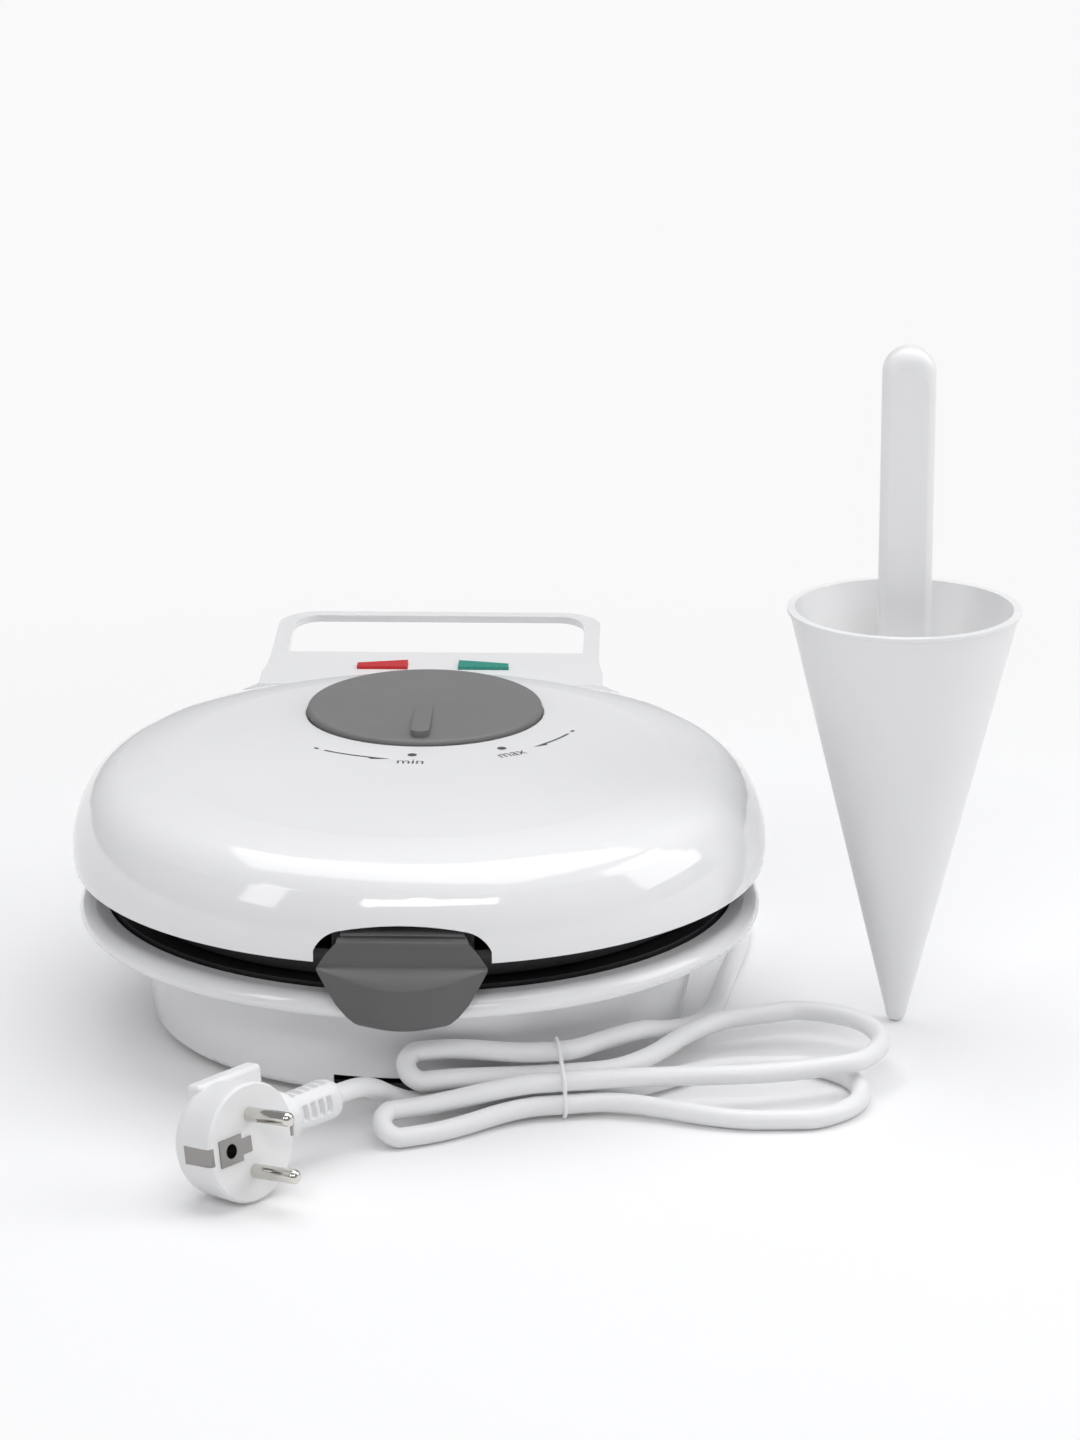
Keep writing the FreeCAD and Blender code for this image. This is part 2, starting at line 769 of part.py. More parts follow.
def reflector(name, foot, up):
    body = newBody(name)
    h = s.reflectorHeight if up else -s.reflectorHeight
    t = s.sheetThick if up else -s.sheetThick
    points = [(s.reflectorRadius - s.sheetThick, foot), (s.reflectorRadius, foot),
              (s.reflectorRadius, foot + h),
              (0, foot + h), (0, foot + h - t), (s.reflectorRadius - s.sheetThick, foot + h - t)]
    spin(body, outline(newSketch(body, "XZ_Plane"), points))
    return body


reflector("upper_reflector", plateInner, True)
reflector("lower_reflector", lowerInner, False)

# Latch: a lower loft that swells to the nose, an upper skin, a ledge between, and a hub behind
latch = newBody("latch")
halfFoot = s.latchFootWidth / 2
halfLatch = s.latchWidth / 2
halfCap = s.latchTopWidth / 2


def latchSection(half, z, face, nose):
    sk = newSketch(latch, "XY_Plane", 0, 0, z)
    rise = nose - face
    bend = (half * half + rise * rise) / (2 * rise)
    return outline(sk, [(half, -s.latchBack), (-half, -s.latchBack),
                        (-half, -face, bend, "left"), (half, -face)])


low = latchSection(halfFoot, s.latchBottom, s.latchBack + 2.2, s.latchFootNose)
high = latchSection(halfLatch, s.latchCrease, s.latchBack + 2.2, s.latchNose)
loft = latch.newObject("PartDesign::AdditiveLoft", "latchLoft")
loft.Profile = low
loft.Sections = [high]
loft.Ruled = True
latch.Tip = loft
skin = newSketch(latch, "XZ_Plane", 0, 0, s.latchFace - s.latchSkin)
capBend = s.latchTopWidth * 2.2
outline(skin, [
    (-halfLatch, s.latchCrease - 1.2),
    (halfLatch, s.latchCrease - 1.2),
    (halfLatch, s.latchCrease),
    (halfCap, s.latchShoulder, capBend, "left"),
    (-halfCap, s.latchShoulder),
    (-halfLatch, s.latchCrease)])
pad(latch, skin, s.latchSkin)
slope = newSketch(latch, "YZ_Plane")
over = s.latchNose - s.latchFace
outline(slope, [
    (-s.latchFace + 1.3, s.latchTop + 4),
    (-s.latchFace, s.latchCrease),
    (-s.latchFace - 3 * over, s.latchCrease - 3 * s.latchDrop),
    (-s.latchFace - 3 * over, s.latchTop + 4)])
cut(latch, slope, s.latchWidth + 10, SideType="Symmetric")
for sign in (1, -1):
    corner = newSketch(latch, "XZ_Plane", 0, 0, s.latchBack - 4)
    edge = sign * halfFoot
    points = [(edge - sign * s.latchCorner, s.latchBottom - 2),
              (edge + sign * 2, s.latchBottom - 2),
              (edge + sign * 2, s.latchBottom + s.latchCorner + 1),
              (edge + sign * (s.latchCorner + 1) * 0.62, s.latchBottom + s.latchCorner + 1,
               s.latchCorner * 1.5, "right" if sign > 0 else "left"),
              (edge - sign * s.latchCorner, s.latchBottom)]
    outline(corner, points)
    cut(latch, corner, 20, Reversed=True)
arm = newSketch(latch, "YZ_Plane")
armBack = s.latchFace - s.latchSkin + 0.5
outline(arm, [
    (-armBack, s.latchPivotZ - s.hubRadius + 0.4),
    (-s.latchPivotY, s.latchPivotZ - s.hubRadius + 0.4),
    (-s.latchPivotY, s.latchPivotZ + 1),
    (-armBack, s.latchPivotZ + 1)])
pad(latch, arm, s.hubLength, SideType="Symmetric")
hub = newSketch(latch, "YZ_Plane")
disc(hub, -s.latchPivotY, s.latchPivotZ, s.hubRadius)
pad(latch, hub, s.hubLength, SideType="Symmetric")
hubBore = newSketch(latch, "YZ_Plane")
disc(hubBore, -s.latchPivotY, s.latchPivotZ, s.latchPinRadius + s.pinFit)
cut(latch, hubBore, s.hubLength + 2, SideType="Symmetric")
springGap = newSketch(latch, "YZ_Plane")
outline(springGap, [
    (-s.latchPivotY - s.hubRadius - 1, s.latchPivotZ - s.hubRadius - 2),
    (-s.latchPivotY + s.hubRadius + 2, s.latchPivotZ - s.hubRadius - 2),
    (-s.latchPivotY + s.hubRadius + 2, s.latchPivotZ + s.hubRadius + 2),
    (-s.latchPivotY - s.hubRadius - 1, s.latchPivotZ + s.hubRadius + 2)])
cut(latch, springGap, s.springLength + 1, SideType="Symmetric")

# Bracket of the latch, standing on the flange of the upper plate, with its pin and spring
bracket = newBody("latch_bracket")
halfBracket = s.bracketWidth / 2
earFront = s.latchPivotY + 2
plan = newSketch(bracket, "XY_Plane", 0, 0, plateSeat)
outline(plan, [
    (-halfBracket, -earFront),
    (-halfBracket + s.bracketWall, -earFront),
    (-halfBracket + s.bracketWall, -s.bracketBack - s.bracketWall),
    (halfBracket - s.bracketWall, -s.bracketBack - s.bracketWall),
    (halfBracket - s.bracketWall, -earFront),
    (halfBracket, -earFront),
    (halfBracket, -s.bracketBack),
    (-halfBracket, -s.bracketBack)])
pad(bracket, plan, s.bracketTop - plateSeat)
bracketBore = newSketch(bracket, "YZ_Plane")
disc(bracketBore, -s.latchPivotY, s.latchPivotZ, s.latchPinRadius)
cut(bracket, bracketBore, s.bracketWidth + 4, SideType="Symmetric")
latchPin = newBody("latch_pin")
disc(newSketch(latchPin, "YZ_Plane"), -s.latchPivotY, s.latchPivotZ, s.latchPinRadius)
pad(latchPin, latchPin.Group[-1], s.bracketWidth, SideType="Symmetric")
latchSpring = newBody("latch_spring")
coil = newSketch(latchSpring, "YZ_Plane")
disc(coil, -s.latchPivotY, s.latchPivotZ, s.springRadius)
disc(coil, -s.latchPivotY, s.latchPivotZ, s.latchPinRadius)
pad(latchSpring, coil, s.springLength, SideType="Symmetric")

# Base housing: a drum with an out-turned flange, a ledge for the plate and ears for the hinge
base = newBody("base_housing")
rimInner = s.lowerPlateRadius + s.plateGap
coverSeat = s.baseBottom + s.coverSink + s.coverThick
coverBore = s.coverRadius + s.coverGap
spin(base, outline(newSketch(base, "XZ_Plane"), [
    (s.drumFoot - s.footBend, s.baseBottom, s.footBend * 1.01, "left"),
    (s.drumFoot, s.baseBottom + s.footBend),
    (s.drumTop, s.flangeUnder - s.neckBend, s.neckBend * 1.05, "right"),
    (s.drumTop + s.neckBend, s.flangeUnder),
    (s.lipUnderRadius, s.lipUnder, 3.2, "left"),
    (s.lipRadius, s.lipWaist, 4.9, "left"),
    (s.lipCrown, s.lipTop),
    (rimInner + 0.6, s.lipTop),
    (rimInner, s.lipTop - 0.6),
    (rimInner, s.ledge),
    (s.ledgeRadius, s.ledge),
    (s.drumTop - s.baseWall, s.ledge - 1.8),
    (s.drumFoot - s.baseWall + 0.8, coverSeat + s.seatThick + 2),
    (coverBore - s.seatWidth, coverSeat + s.seatThick),
    (coverBore - s.seatWidth, coverSeat),
    (coverBore, coverSeat),
    (coverBore, s.baseBottom)]))
bossSketch = newSketch(base, "XY_Plane", 0, 0, coverSeat)
bossTurn = 45
disc(bossSketch, s.screwCircle * cosine(bossTurn), s.screwCircle * sine(bossTurn), s.screwBoss)
bossPad = pad(base, bossSketch, s.screwDepth + 3)
around(base, [bossPad], 4)
earStart = s.barrelLength / 2 + s.earGap
earFoot = s.lipCrown - 2.6
earSketch = newSketch(base, "YZ_Plane", 0, 0, earStart)
outline(earSketch, [
    (earFoot, s.lipUnder + 3),
    (s.lipRadius - 1, s.lipUnder + 1),
    (s.hingeY + s.barrelRadius - 1.5, s.hingeZ - 4),
    (s.hingeY - s.barrelRadius + 0.6, s.hingeZ + 2.2),
    (earFoot, s.lipTop + 0.5)])
earWeb = pad(base, earSketch, s.earWidth)
earDisc = newSketch(base, "YZ_Plane", 0, 0, earStart)
disc(earDisc, s.hingeY, s.hingeZ, s.barrelRadius)
earRound = pad(base, earDisc, s.earWidth)
mirror(base, [earWeb, earRound])
earBore = newSketch(base, "YZ_Plane")
disc(earBore, s.hingeY, s.hingeZ, s.pinRadius)
earSpan = 2 * (earStart + s.earWidth)
cut(base, earBore, earSpan + 2, SideType="Symmetric")
skirt = newSketch(base, "XZ_Plane", 0, 0, s.drumFoot - 14)
box(skirt, -s.skirtNotch / 2, s.baseBottom - 2, s.skirtNotch / 2, s.skirtNotchTop)
cut(base, skirt, 30, Reversed=True)
bossBore = newSketch(base, "XY_Plane", 0, 0, coverSeat)
disc(bossBore, s.screwCircle * cosine(bossTurn), s.screwCircle * sine(bossTurn), s.screwRadius)
around(base, [cut(base, bossBore, s.screwDepth, Reversed=True)], 4)
glandBore = newSketch(base, "XZ_Plane", 0, 0, 0, 0, 90 + s.glandTurn)
disc(glandBore, 0, s.glandZ, s.glandRadius)
cut(base, glandBore, s.drumTop + 8, Reversed=True)

# Hinge pin, pressed into the ears of the base
hingePin = newBody("hinge_pin")
disc(newSketch(hingePin, "YZ_Plane"), s.hingeY, s.hingeZ, s.pinRadius)
pad(hingePin, hingePin.Group[-1], earSpan, SideType="Symmetric")

# Bottom cover with vents, its feet and its screws
cover = newBody("bottom_cover")
coverFoot = s.baseBottom + s.coverSink
disc(newSketch(cover, "XY_Plane", 0, 0, coverFoot), 0, 0, s.coverRadius)
pad(cover, cover.Group[-1], s.coverThick)
vent = newSketch(cover, "XY_Plane", 0, 0, coverFoot)
box(vent, s.ventCircle - s.ventLength / 2, -s.ventWidth / 2, s.ventCircle + s.ventLength / 2, s.ventWidth / 2)
around(cover, [cut(cover, vent, s.coverThick, Reversed=True)], 12)
footHole = newSketch(cover, "XY_Plane", 0, 0, coverFoot)
disc(footHole, s.footCircle * cosine(15), s.footCircle * sine(15), s.footStem)
around(cover, [cut(cover, footHole, s.coverThick, Reversed=True)], 4)
screwHole = newSketch(cover, "XY_Plane", 0, 0, coverFoot)
disc(screwHole, s.screwCircle * cosine(bossTurn), s.screwCircle * sine(bossTurn), s.screwRadius)
around(cover, [cut(cover, screwHole, s.coverThick, Reversed=True)], 4)
headSink = newSketch(cover, "XY_Plane", 0, 0, coverFoot)
disc(headSink, s.screwCircle * cosine(bossTurn), s.screwCircle * sine(bossTurn), s.screwHead)
around(cover, [cut(cover, headSink, s.screwHeadThick, Reversed=True)], 4)
for i in range(4):
    foot = newBody("rubber_foot_%d" % (i + 1))
    spin(foot, outline(newSketch(foot, "XZ_Plane"), [
        (0, 0),
        (s.footRadius - 1, 0),
        (s.footRadius, coverFoot),
        (s.footStem, coverFoot),
        (s.footStem, coverSeat),
        (0, coverSeat)]))
    place(foot, s.footCircle * cosine(15 + 90 * i), s.footCircle * sine(15 + 90 * i), 0)
    screw = newBody("cover_screw_%d" % (i + 1))
    spin(screw, outline(newSketch(screw, "XZ_Plane"), [
        (0, coverFoot),
        (s.screwHead, coverFoot),
        (s.screwHead, coverFoot + s.screwHeadThick),
        (s.screwRadius, coverFoot + s.screwHeadThick),
        (s.screwRadius, coverSeat + s.screwDepth),
        (0, coverSeat + s.screwDepth)]))
    place(screw, s.screwCircle * cosine(bossTurn + 90 * i), s.screwCircle * sine(bossTurn + 90 * i), 0)


def block(name, x, y, z, length, width, height):
    obj = doc.addObject("Part::Box", name)
    obj.Label = name
    for prop, v in (("Length", length), ("Width", width), ("Height", height)):
        setattr(obj, prop, num(v))
        bind(obj, prop, v)
    place(obj, x, y, z)
    nodes.append(obj)
    return obj


block("terminal_block", -s.terminalWidth / 2, s.terminalY - s.terminalDepth / 2, coverSeat,
      s.terminalWidth, s.terminalDepth, s.terminalHeight)
block("thermal_fuse", -s.fuseLength / 2, -s.fuseWidth / 2, lowerInner - s.reflectorHeight - s.fuseHeight,
      s.fuseLength, s.fuseWidth, s.fuseHeight)

# Gland where the cord leaves the drum: a barrel in the wall, a collar and a ribbed sleeve


def ribbed(start, end, root, tip, ribs, step):
    # outer points of a tapering sleeve with square ribs along Z, from start to end
    points = []
    for i in range(ribs):
        near = i / ribs
        mid = (i + 0.6) / ribs
        far = (i + 1) / ribs
        r = root + (tip - root) * near
        points += [(r, start + (end - start) * near), (r, start + (end - start) * mid),
                   (r - step, start + (end - start) * mid)]
        points.append((r - step, start + (end - start) * far))
    return points


gland = newBody("cord_gland")
collar = s.drumTop - 2
glandOuter = ribbed(collar + 2.5, s.glandEnd, s.glandRadius, s.glandTip + 0.8, 4, 0.8)
spin(gland, outline(newSketch(gland, "XZ_Plane"), [
    (0, s.drumFoot - s.baseWall - 4),
    (s.glandRadius, s.drumFoot - s.baseWall - 4),
    (s.glandRadius, collar),
    (s.glandRadius + 2, collar),
    (s.glandRadius + 2, collar + 2.5)] + glandOuter + [(0, s.glandEnd)]))
place(gland, 0, 0, s.glandZ, Vector(-math.sin(math.radians(num(s.glandTurn))),
                                    math.cos(math.radians(num(s.glandTurn))), 0), 90)
gland.setExpression("Placement.Rotation.Axis.x", "0 - sin(sizes.glandTurn)")
gland.setExpression("Placement.Rotation.Axis.y", "cos(sizes.glandTurn)")

# Plug: Z of its own frame runs out along the pins and X along the cord
turn = math.radians(num(s.plugTurn))
lean = math.radians(num(s.plugLean))
along = Vector(-math.sin(turn), math.cos(turn), 0)
pinWay = Vector(math.cos(turn) * math.cos(lean), math.sin(turn) * math.cos(lean), math.sin(lean))
plugZ = num(s.plugRear) * math.cos(lean) + num(s.plugSide) * math.sin(lean)
plugPlace = Placement(Vector(num(s.plugX), num(s.plugY), plugZ),
                      Rotation(along, pinWay.cross(along), pinWay, "ZXY"))
plug = newBody("plug_body")
spin(plug, outline(newSketch(plug, "XZ_Plane"), [
    (0, -s.plugDepth),
    (s.plugBack, -s.plugDepth, 9, "left"),
    (s.plugRear, -s.plugSide),
    (s.plugRadius, -3),
    (s.plugRadius, -0.8),
    (s.plugRadius - 0.8, 0),
    (0, 0)]))
neck = newSketch(plug, "YZ_Plane")
disc(neck, 0, -s.neckBack, s.neckRadius)
pad(plug, neck, s.neckEnd)
roundRight = s.neckBack - s.neckRadius + 0.6
for side, deep in ((-1, s.earthDeep), (1, roundRight)):
    slot = newSketch(plug, "XY_Plane")
    x0 = side * (s.plugRadius - s.earthSink)
    x1 = side * (s.plugRadius + 3)
    ends = (x0, x1) if side > 0 else (x1, x0)
    box(slot, ends[0], -s.earthWidth / 2, ends[1], s.earthWidth / 2)
    cut(plug, slot, deep)
for side in (1, -1):
    pinHole = newSketch(plug, "XY_Plane")
    disc(pinHole, 0, side * s.pinSpacing / 2, s.plugPinShank)
    cut(plug, pinHole, s.plugPinRoot)
socket = newSketch(plug, "XY_Plane")
disc(socket, -s.socketOffset, 0, s.socketRadius)
cut(plug, socket, s.socketDepth)
plug.Placement = plugPlace
for name, side in (("plug_pin_upper", 1), ("plug_pin_lower", -1)):
    pin = newBody(name)
    spin(pin, outline(newSketch(pin, "XZ_Plane"), [
        (0, -s.plugPinRoot),
        (s.plugPinShank, -s.plugPinRoot),
        (s.plugPinShank, 0),
        (s.plugPinRadius, 0),
        (s.plugPinRadius, s.plugPinLength - s.pinTip, s.pinTip * 1.01, "left"),
        (s.plugPinRadius - s.pinTip, s.plugPinLength),
        (0, s.plugPinLength)]))
    pin.Placement = plugPlace.multiply(Placement(Vector(0, side * num(s.pinSpacing) / 2, 0), Rotation()))
for name, side, deep in (("earth_clip_left", -1, s.earthDeep), ("earth_clip_right", 1, roundRight)):
    clip = newBody(name)
    strip = newSketch(clip, "XY_Plane")
    x0 = side * (s.plugRadius - s.earthSink)
    x1 = side * (s.plugRadius - s.earthSink + s.earthThick)
    ends = (x0, x1) if side > 0 else (x1, x0)
    box(strip, ends[0], -s.earthWidth / 2, ends[1], s.earthWidth / 2)
    pad(clip, strip, deep, Reversed=True)
    clip.Placement = plugPlace
relief = newBody("strain_relief")
spin(relief, outline(newSketch(relief, "XZ_Plane"),
                     [(0, 0)] + ribbed(0, s.reliefLength, s.reliefRoot, s.reliefTip + s.reliefStep,
                                       int(num(s.reliefRibs)), s.reliefStep) + [(0, s.reliefLength)]))
relief.Placement = plugPlace.multiply(Placement(
    Vector(num(s.neckEnd), 0, -num(s.neckBack)), Rotation(Vector(0, 1, 0), 90)))

# Cord: a lead from the gland, a tied hank and a tail to the plug
cordRadius = num(s.cordWidth) / 2


def roundedPath(points, label):
    # straight runs joined by tangent arcs as large as the runs allow
    edges = []
    last = points[0]
    radii = []
    for i in range(1, len(points) - 1):
        before = points[i] - points[i - 1]
        after = points[i + 1] - points[i]
        bend = before.getAngle(after)
        tangent = 0.45 * min(before.Length, after.Length)
        radii.append(tangent / math.tan(bend / 2))
        a = points[i] - before.normalize() * tangent
        b = points[i] + after.normalize() * tangent
        inward = (after - before).normalize()
        middle = points[i] + inward * (radii[-1] / math.cos(bend / 2) - radii[-1])
        edges.append(Part.LineSegment(last, a).toShape())
        edges.append(Part.Arc(a, middle, b).toShape())
        last = b
    edges.append(Part.LineSegment(last, points[-1]).toShape())
    print(label, "bend radii", [round(r, 1) for r in radii])
    return edges


def arcFrom(a, way, b):
    # the arc that leaves a along way and ends at b, and its direction there
    chord = b - a
    length = chord.Length
    line = Vector(chord).normalize()
    aside = way - line * way.dot(line)
    if aside.Length < 1e-6:
        return Part.LineSegment(a, b).toShape(), line
    half = way.getAngle(chord)
    middle = (a + b) * 0.5 + aside.normalize() * (length / 2 * math.tan(half / 2))
    return Part.Arc(a, middle, b).toShape(), line * (2 * way.dot(line)) - way


def biarc(a, wayA, b, wayB):
    # two arcs that meet smoothly between a and b
    v = b - a
    t = wayA + wayB
    k = 2 * (1 - wayA.dot(wayB))
    if k < 1e-9:
        d = v.dot(v) / (4 * v.dot(wayA))
    else:
        d = (-v.dot(t) + math.sqrt(v.dot(t) ** 2 + k * v.dot(v))) / k
    joint = (a + b + (wayA - wayB) * d) * 0.5
    first, wayJ = arcFrom(a, wayA, joint)
    second = arcFrom(joint, wayJ, b)[0]
    return [first, second]


def sweep(edges, start, way, radius):
    path = Part.Wire(edges)
    ring = Part.Wire(Part.Circle(start, way, radius).toShape())
    solid = path.makePipeShell([ring], True, False)
    want = math.pi * radius ** 2 * path.Length
    print("tube length", round(path.Length, 1), "volume share", round(solid.Volume / want, 4))
    return solid


def sampled(edges, step):
    points = []
    for e in edges:
        n = max(int(e.Length / step), 1)
        span = e.LastParameter - e.FirstParameter
        points += [e.valueAt(e.FirstParameter + span * i / n) for i in range(n)]
    return points


def selfGap(points, width, step):
    # least clear distance between stretches of the tube that aren't neighbours
    skip = int(2.5 * width / step)
    least = 1e9
    for i in range(len(points)):
        for j in range(i + skip, len(points)):
            least = min(least, points[i].distanceToPoint(points[j]))
    return least - width


# waist of the hank: five strands in three leaning rows, under a wire tie
tieX, tieY, tieTurn = 52.0, -101.5, math.radians(12)
tieWay = Vector(math.cos(tieTurn), math.sin(tieTurn), 0)
tieSide = Vector(-math.sin(tieTurn), math.cos(tieTurn), 0)
waistStep, waistRise, waistLean = 7.7, 7.3, 2.2
waistFoot = cordRadius + num(s.tieWidth) + num(s.tieGap)


def waist(row, column):
    side = -4.2 + column * waistStep + row * waistLean
    return Vector(tieX, tieY, waistFoot + row * waistRise) + tieSide * side


def turnBack(x, y, axisTurn, radius, zFirst, zSecond, side):
    # the two ends of a half turn about a centre, and the way that the cord enters it
    way = Vector(math.cos(math.radians(axisTurn)), math.sin(math.radians(axisTurn)), 0)
    across = Vector(-way.y, way.x, 0) * (radius * side)
    first = Vector(x, y, zFirst) - across
    second = Vector(x, y, zSecond) + across
    return first, second, way


stubLength = 12.0
strands = [(2, 1), (1, 1), (1, 0), (0, 0), (0, 1)]
halfTurns = [
    turnBack(6, -107.5, 197, 4.2, 22.6, 15, 1),
    turnBack(134, -60, 22, 26.5, 12.6, 11.8, -1),
    turnBack(-1, -129.6, 204, 4.7, 9.8, 3.7, 1),
    turnBack(127, -88, 3, 26, 3.5, 3.5, 1),
]
hankEdges = []
leadEnd = Vector(67.4, -80.2, 18.9)
leadWay = Vector(math.cos(math.radians(221)), math.sin(math.radians(221)), 0)
here = leadEnd
heading = leadWay
for k, slot in enumerate(strands):
    strandWay = tieWay if k % 2 else -tieWay
    hankEdges += biarc(here, heading, waist(*slot), strandWay)
    here = waist(*slot)
    heading = strandWay
    if k < len(halfTurns):
        first, second, way = halfTurns[k]
        hankEdges += biarc(here, heading, first, way)
        mid = (first + second) * 0.5 + way * ((second - first).Length / 2)
        quarter, wayMid = arcFrom(first, way, mid)
        hankEdges += [quarter, arcFrom(mid, wayMid, second)[0]]
        here = second
        heading = -way
tailStart = here + heading * stubLength
hankEdges.append(Part.LineSegment(here, tailStart).toShape())

glandAngle = math.radians(num(s.glandTurn))
glandWay = Vector(math.cos(glandAngle), math.sin(glandAngle), 0)
glandOut = glandWay * num(s.glandEnd) + Vector(0, 0, num(s.glandZ))
leadRoute = [glandOut, glandOut + glandWay * 13] + [Vector(*p) for p in (
    (71, 129.5, 11), (85, 134.5, 7.5), (99, 130, 4.8), (110, 117, 3.6), (114.5, 98, 3.5), (115, 73, 3.5),
    (112, 48, 3.5), (108, 23, 3.6), (105, -2, 3.6), (99.5, -26, 5), (88, -50.5, 11.2))] + [
    leadEnd - leadWay * 16, leadEnd]
leadEdges = roundedPath(leadRoute, "lead")
reliefEnd = relief.Placement.multVec(Vector(0, 0, num(s.reliefLength)))
tailRoute = [tailStart, tailStart - tieWay * 10.5] + [Vector(*p) for p in (
    (17.5, -105.2, 4.6), (6, -108, 5.2), (-3.5, -113, 9.8), (-9.6, -119.6, 15.6))] + [
    reliefEnd + along * 12, reliefEnd]
tailEdges = roundedPath(tailRoute, "tail")
shaped("cord_lead", sweep(leadEdges, leadRoute[0], glandWay, cordRadius))
shaped("cord_hank", sweep(hankEdges, leadEnd, leadWay, cordRadius))
shaped("cord_tail", sweep(tailEdges, tailStart, -tieWay, cordRadius))
wholeCord = sampled(leadEdges, 2) + sampled(hankEdges, 2) + sampled(tailEdges, 2)
hankPoints = sampled(hankEdges, 1)
print("hank gap", round(selfGap(hankPoints, 2 * cordRadius, 1), 2))
print("cord gap", round(selfGap(wholeCord, 2 * cordRadius, 2), 2))
print("cord lowest", round(min(p.z for p in wholeCord) - cordRadius, 2))
print("cord length", round(sum(e.Length for e in leadEdges + hankEdges + tailEdges), 1))

# wire tie round the waist
hull = [(0, 0), (0, 1), (2, 1), (1, 0)]
tieRadius = cordRadius + num(s.tieGap) + num(s.tieWidth) / 2
tieEdges = []
spots = [waist(*h) for h in hull]
n = len(spots)
hullMiddle = sum(spots, Vector()) * (1 / n)
offsets = []
for i in range(n):
    outward = (spots[(i + 1) % n] - spots[i]).normalize().cross(tieWay)
    if outward.dot(spots[i] - hullMiddle) < 0:
        outward = -outward
    offsets.append(outward)
for i in range(n):
    a = spots[i] + offsets[i - 1] * tieRadius
    b = spots[i] + offsets[i] * tieRadius
    middle = spots[i] + (offsets[i - 1] + offsets[i]).normalize() * tieRadius
    tieEdges.append(Part.Arc(a, middle, b).toShape())
    tieEdges.append(Part.LineSegment(b, spots[(i + 1) % n] + offsets[i] * tieRadius).toShape())
tiePath = Part.Wire(tieEdges)
tieStart = spots[0] + offsets[-1] * tieRadius
tieRing = Part.Wire(Part.Circle(tieStart, (spots[0] - spots[-1]), num(s.tieWidth) / 2).toShape())
shaped("cord_tie", tiePath.makePipeShell([tieRing], True, False))

# Rolling form: a hollow cone on its tip with a flat bar for a handle
form = newBody("cone_shell")
formSlope = (s.formRim - s.formTip) / (s.formHeight - s.formTip)
floorRadius = s.formTip + formSlope * (s.formFloor - s.formTip) - s.formWall
spin(form, outline(newSketch(form, "XZ_Plane"), [
    (0, 0, s.formTip * 1.0001, "left"),
    (s.formTip, s.formTip),
    (s.formRim, s.formHeight - 1.6),
    (s.formRim + s.rimBead, s.formHeight - 1.2),
    (s.formRim + s.rimBead, s.formHeight),
    (s.formRim - s.formWall, s.formHeight),
    (floorRadius, s.formFloor),
    (0, s.formFloor)]))
place(form, s.formX, s.formY, 0)
handle = newBody("cone_handle")
halfHandle = s.handleWidth / 2
spine = newSketch(handle, "XZ_Plane")
outline(spine, [
    (-halfHandle, s.formFloor),
    (halfHandle, s.formFloor),
    (halfHandle, s.handleTop - halfHandle, halfHandle * 1.0001, "left"),
    (-halfHandle, s.handleTop - halfHandle)])
pad(handle, spine, s.handleDepth, SideType="Symmetric")
roundEdges(handle, s.handleRound,
           lambda e: e.BoundBox.ZMax > num(s.formFloor) + 1 and e.BoundBox.YLength < 0.01)
place(handle, s.formX, s.formY, 0)

doc.recompute()
bad = [o.Name for o in doc.Objects if "Invalid" in o.State or "Error" in o.State]
if bad:
    raise RuntimeError("objects that failed: " + ", ".join(bad))
for node in nodes:
    if node.Shape.isNull() or not node.Shape.isValid():
        raise RuntimeError("no sound shape for " + node.Label)
    if len(node.Shape.Solids) != 1:
        raise RuntimeError("%s has %d solids" % (node.Label, len(node.Shape.Solids)))
os.makedirs("parts", exist_ok=True)
for node in nodes:
    node.Shape.exportStep("parts/%s.step" % node.Label)
print(len(nodes), "pieces")
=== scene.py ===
import math

import bpy
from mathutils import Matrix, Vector
from mathutils.bvhtree import BVHTree


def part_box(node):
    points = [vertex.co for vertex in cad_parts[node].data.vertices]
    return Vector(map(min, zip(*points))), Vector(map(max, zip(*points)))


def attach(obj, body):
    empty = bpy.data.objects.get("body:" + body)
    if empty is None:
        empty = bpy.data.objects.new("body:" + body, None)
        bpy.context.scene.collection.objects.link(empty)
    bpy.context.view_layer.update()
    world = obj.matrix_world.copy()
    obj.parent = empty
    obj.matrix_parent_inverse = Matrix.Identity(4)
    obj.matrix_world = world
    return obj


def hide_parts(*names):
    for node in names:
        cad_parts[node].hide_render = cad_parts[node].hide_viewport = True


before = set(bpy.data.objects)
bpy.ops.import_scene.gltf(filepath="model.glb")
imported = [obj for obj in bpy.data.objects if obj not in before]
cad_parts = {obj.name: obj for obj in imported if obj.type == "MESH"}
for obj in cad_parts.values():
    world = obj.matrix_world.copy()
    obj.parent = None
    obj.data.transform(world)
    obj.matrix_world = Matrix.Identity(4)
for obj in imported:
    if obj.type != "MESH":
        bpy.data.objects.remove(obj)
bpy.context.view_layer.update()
print("frame loaded with", len(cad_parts), "nodes")


def addPiece(name, data):
    piece = bpy.data.objects.new(name, data)
    bpy.context.scene.collection.objects.link(piece)
    return piece


def softenEdges(piece, width, segments):
    soften = piece.modifiers.new("soften", "BEVEL")
    soften.width = width
    soften.segments = segments
    return soften


# camera at the height and distance of the photograph
cameraSettings = {
    "place": (0.0866, -1.6929, 0.6171),
    "pitch": 73.25,
    "yaw": 1.5,
    "lens": 169.0,
    "sensor": 36.0,
}


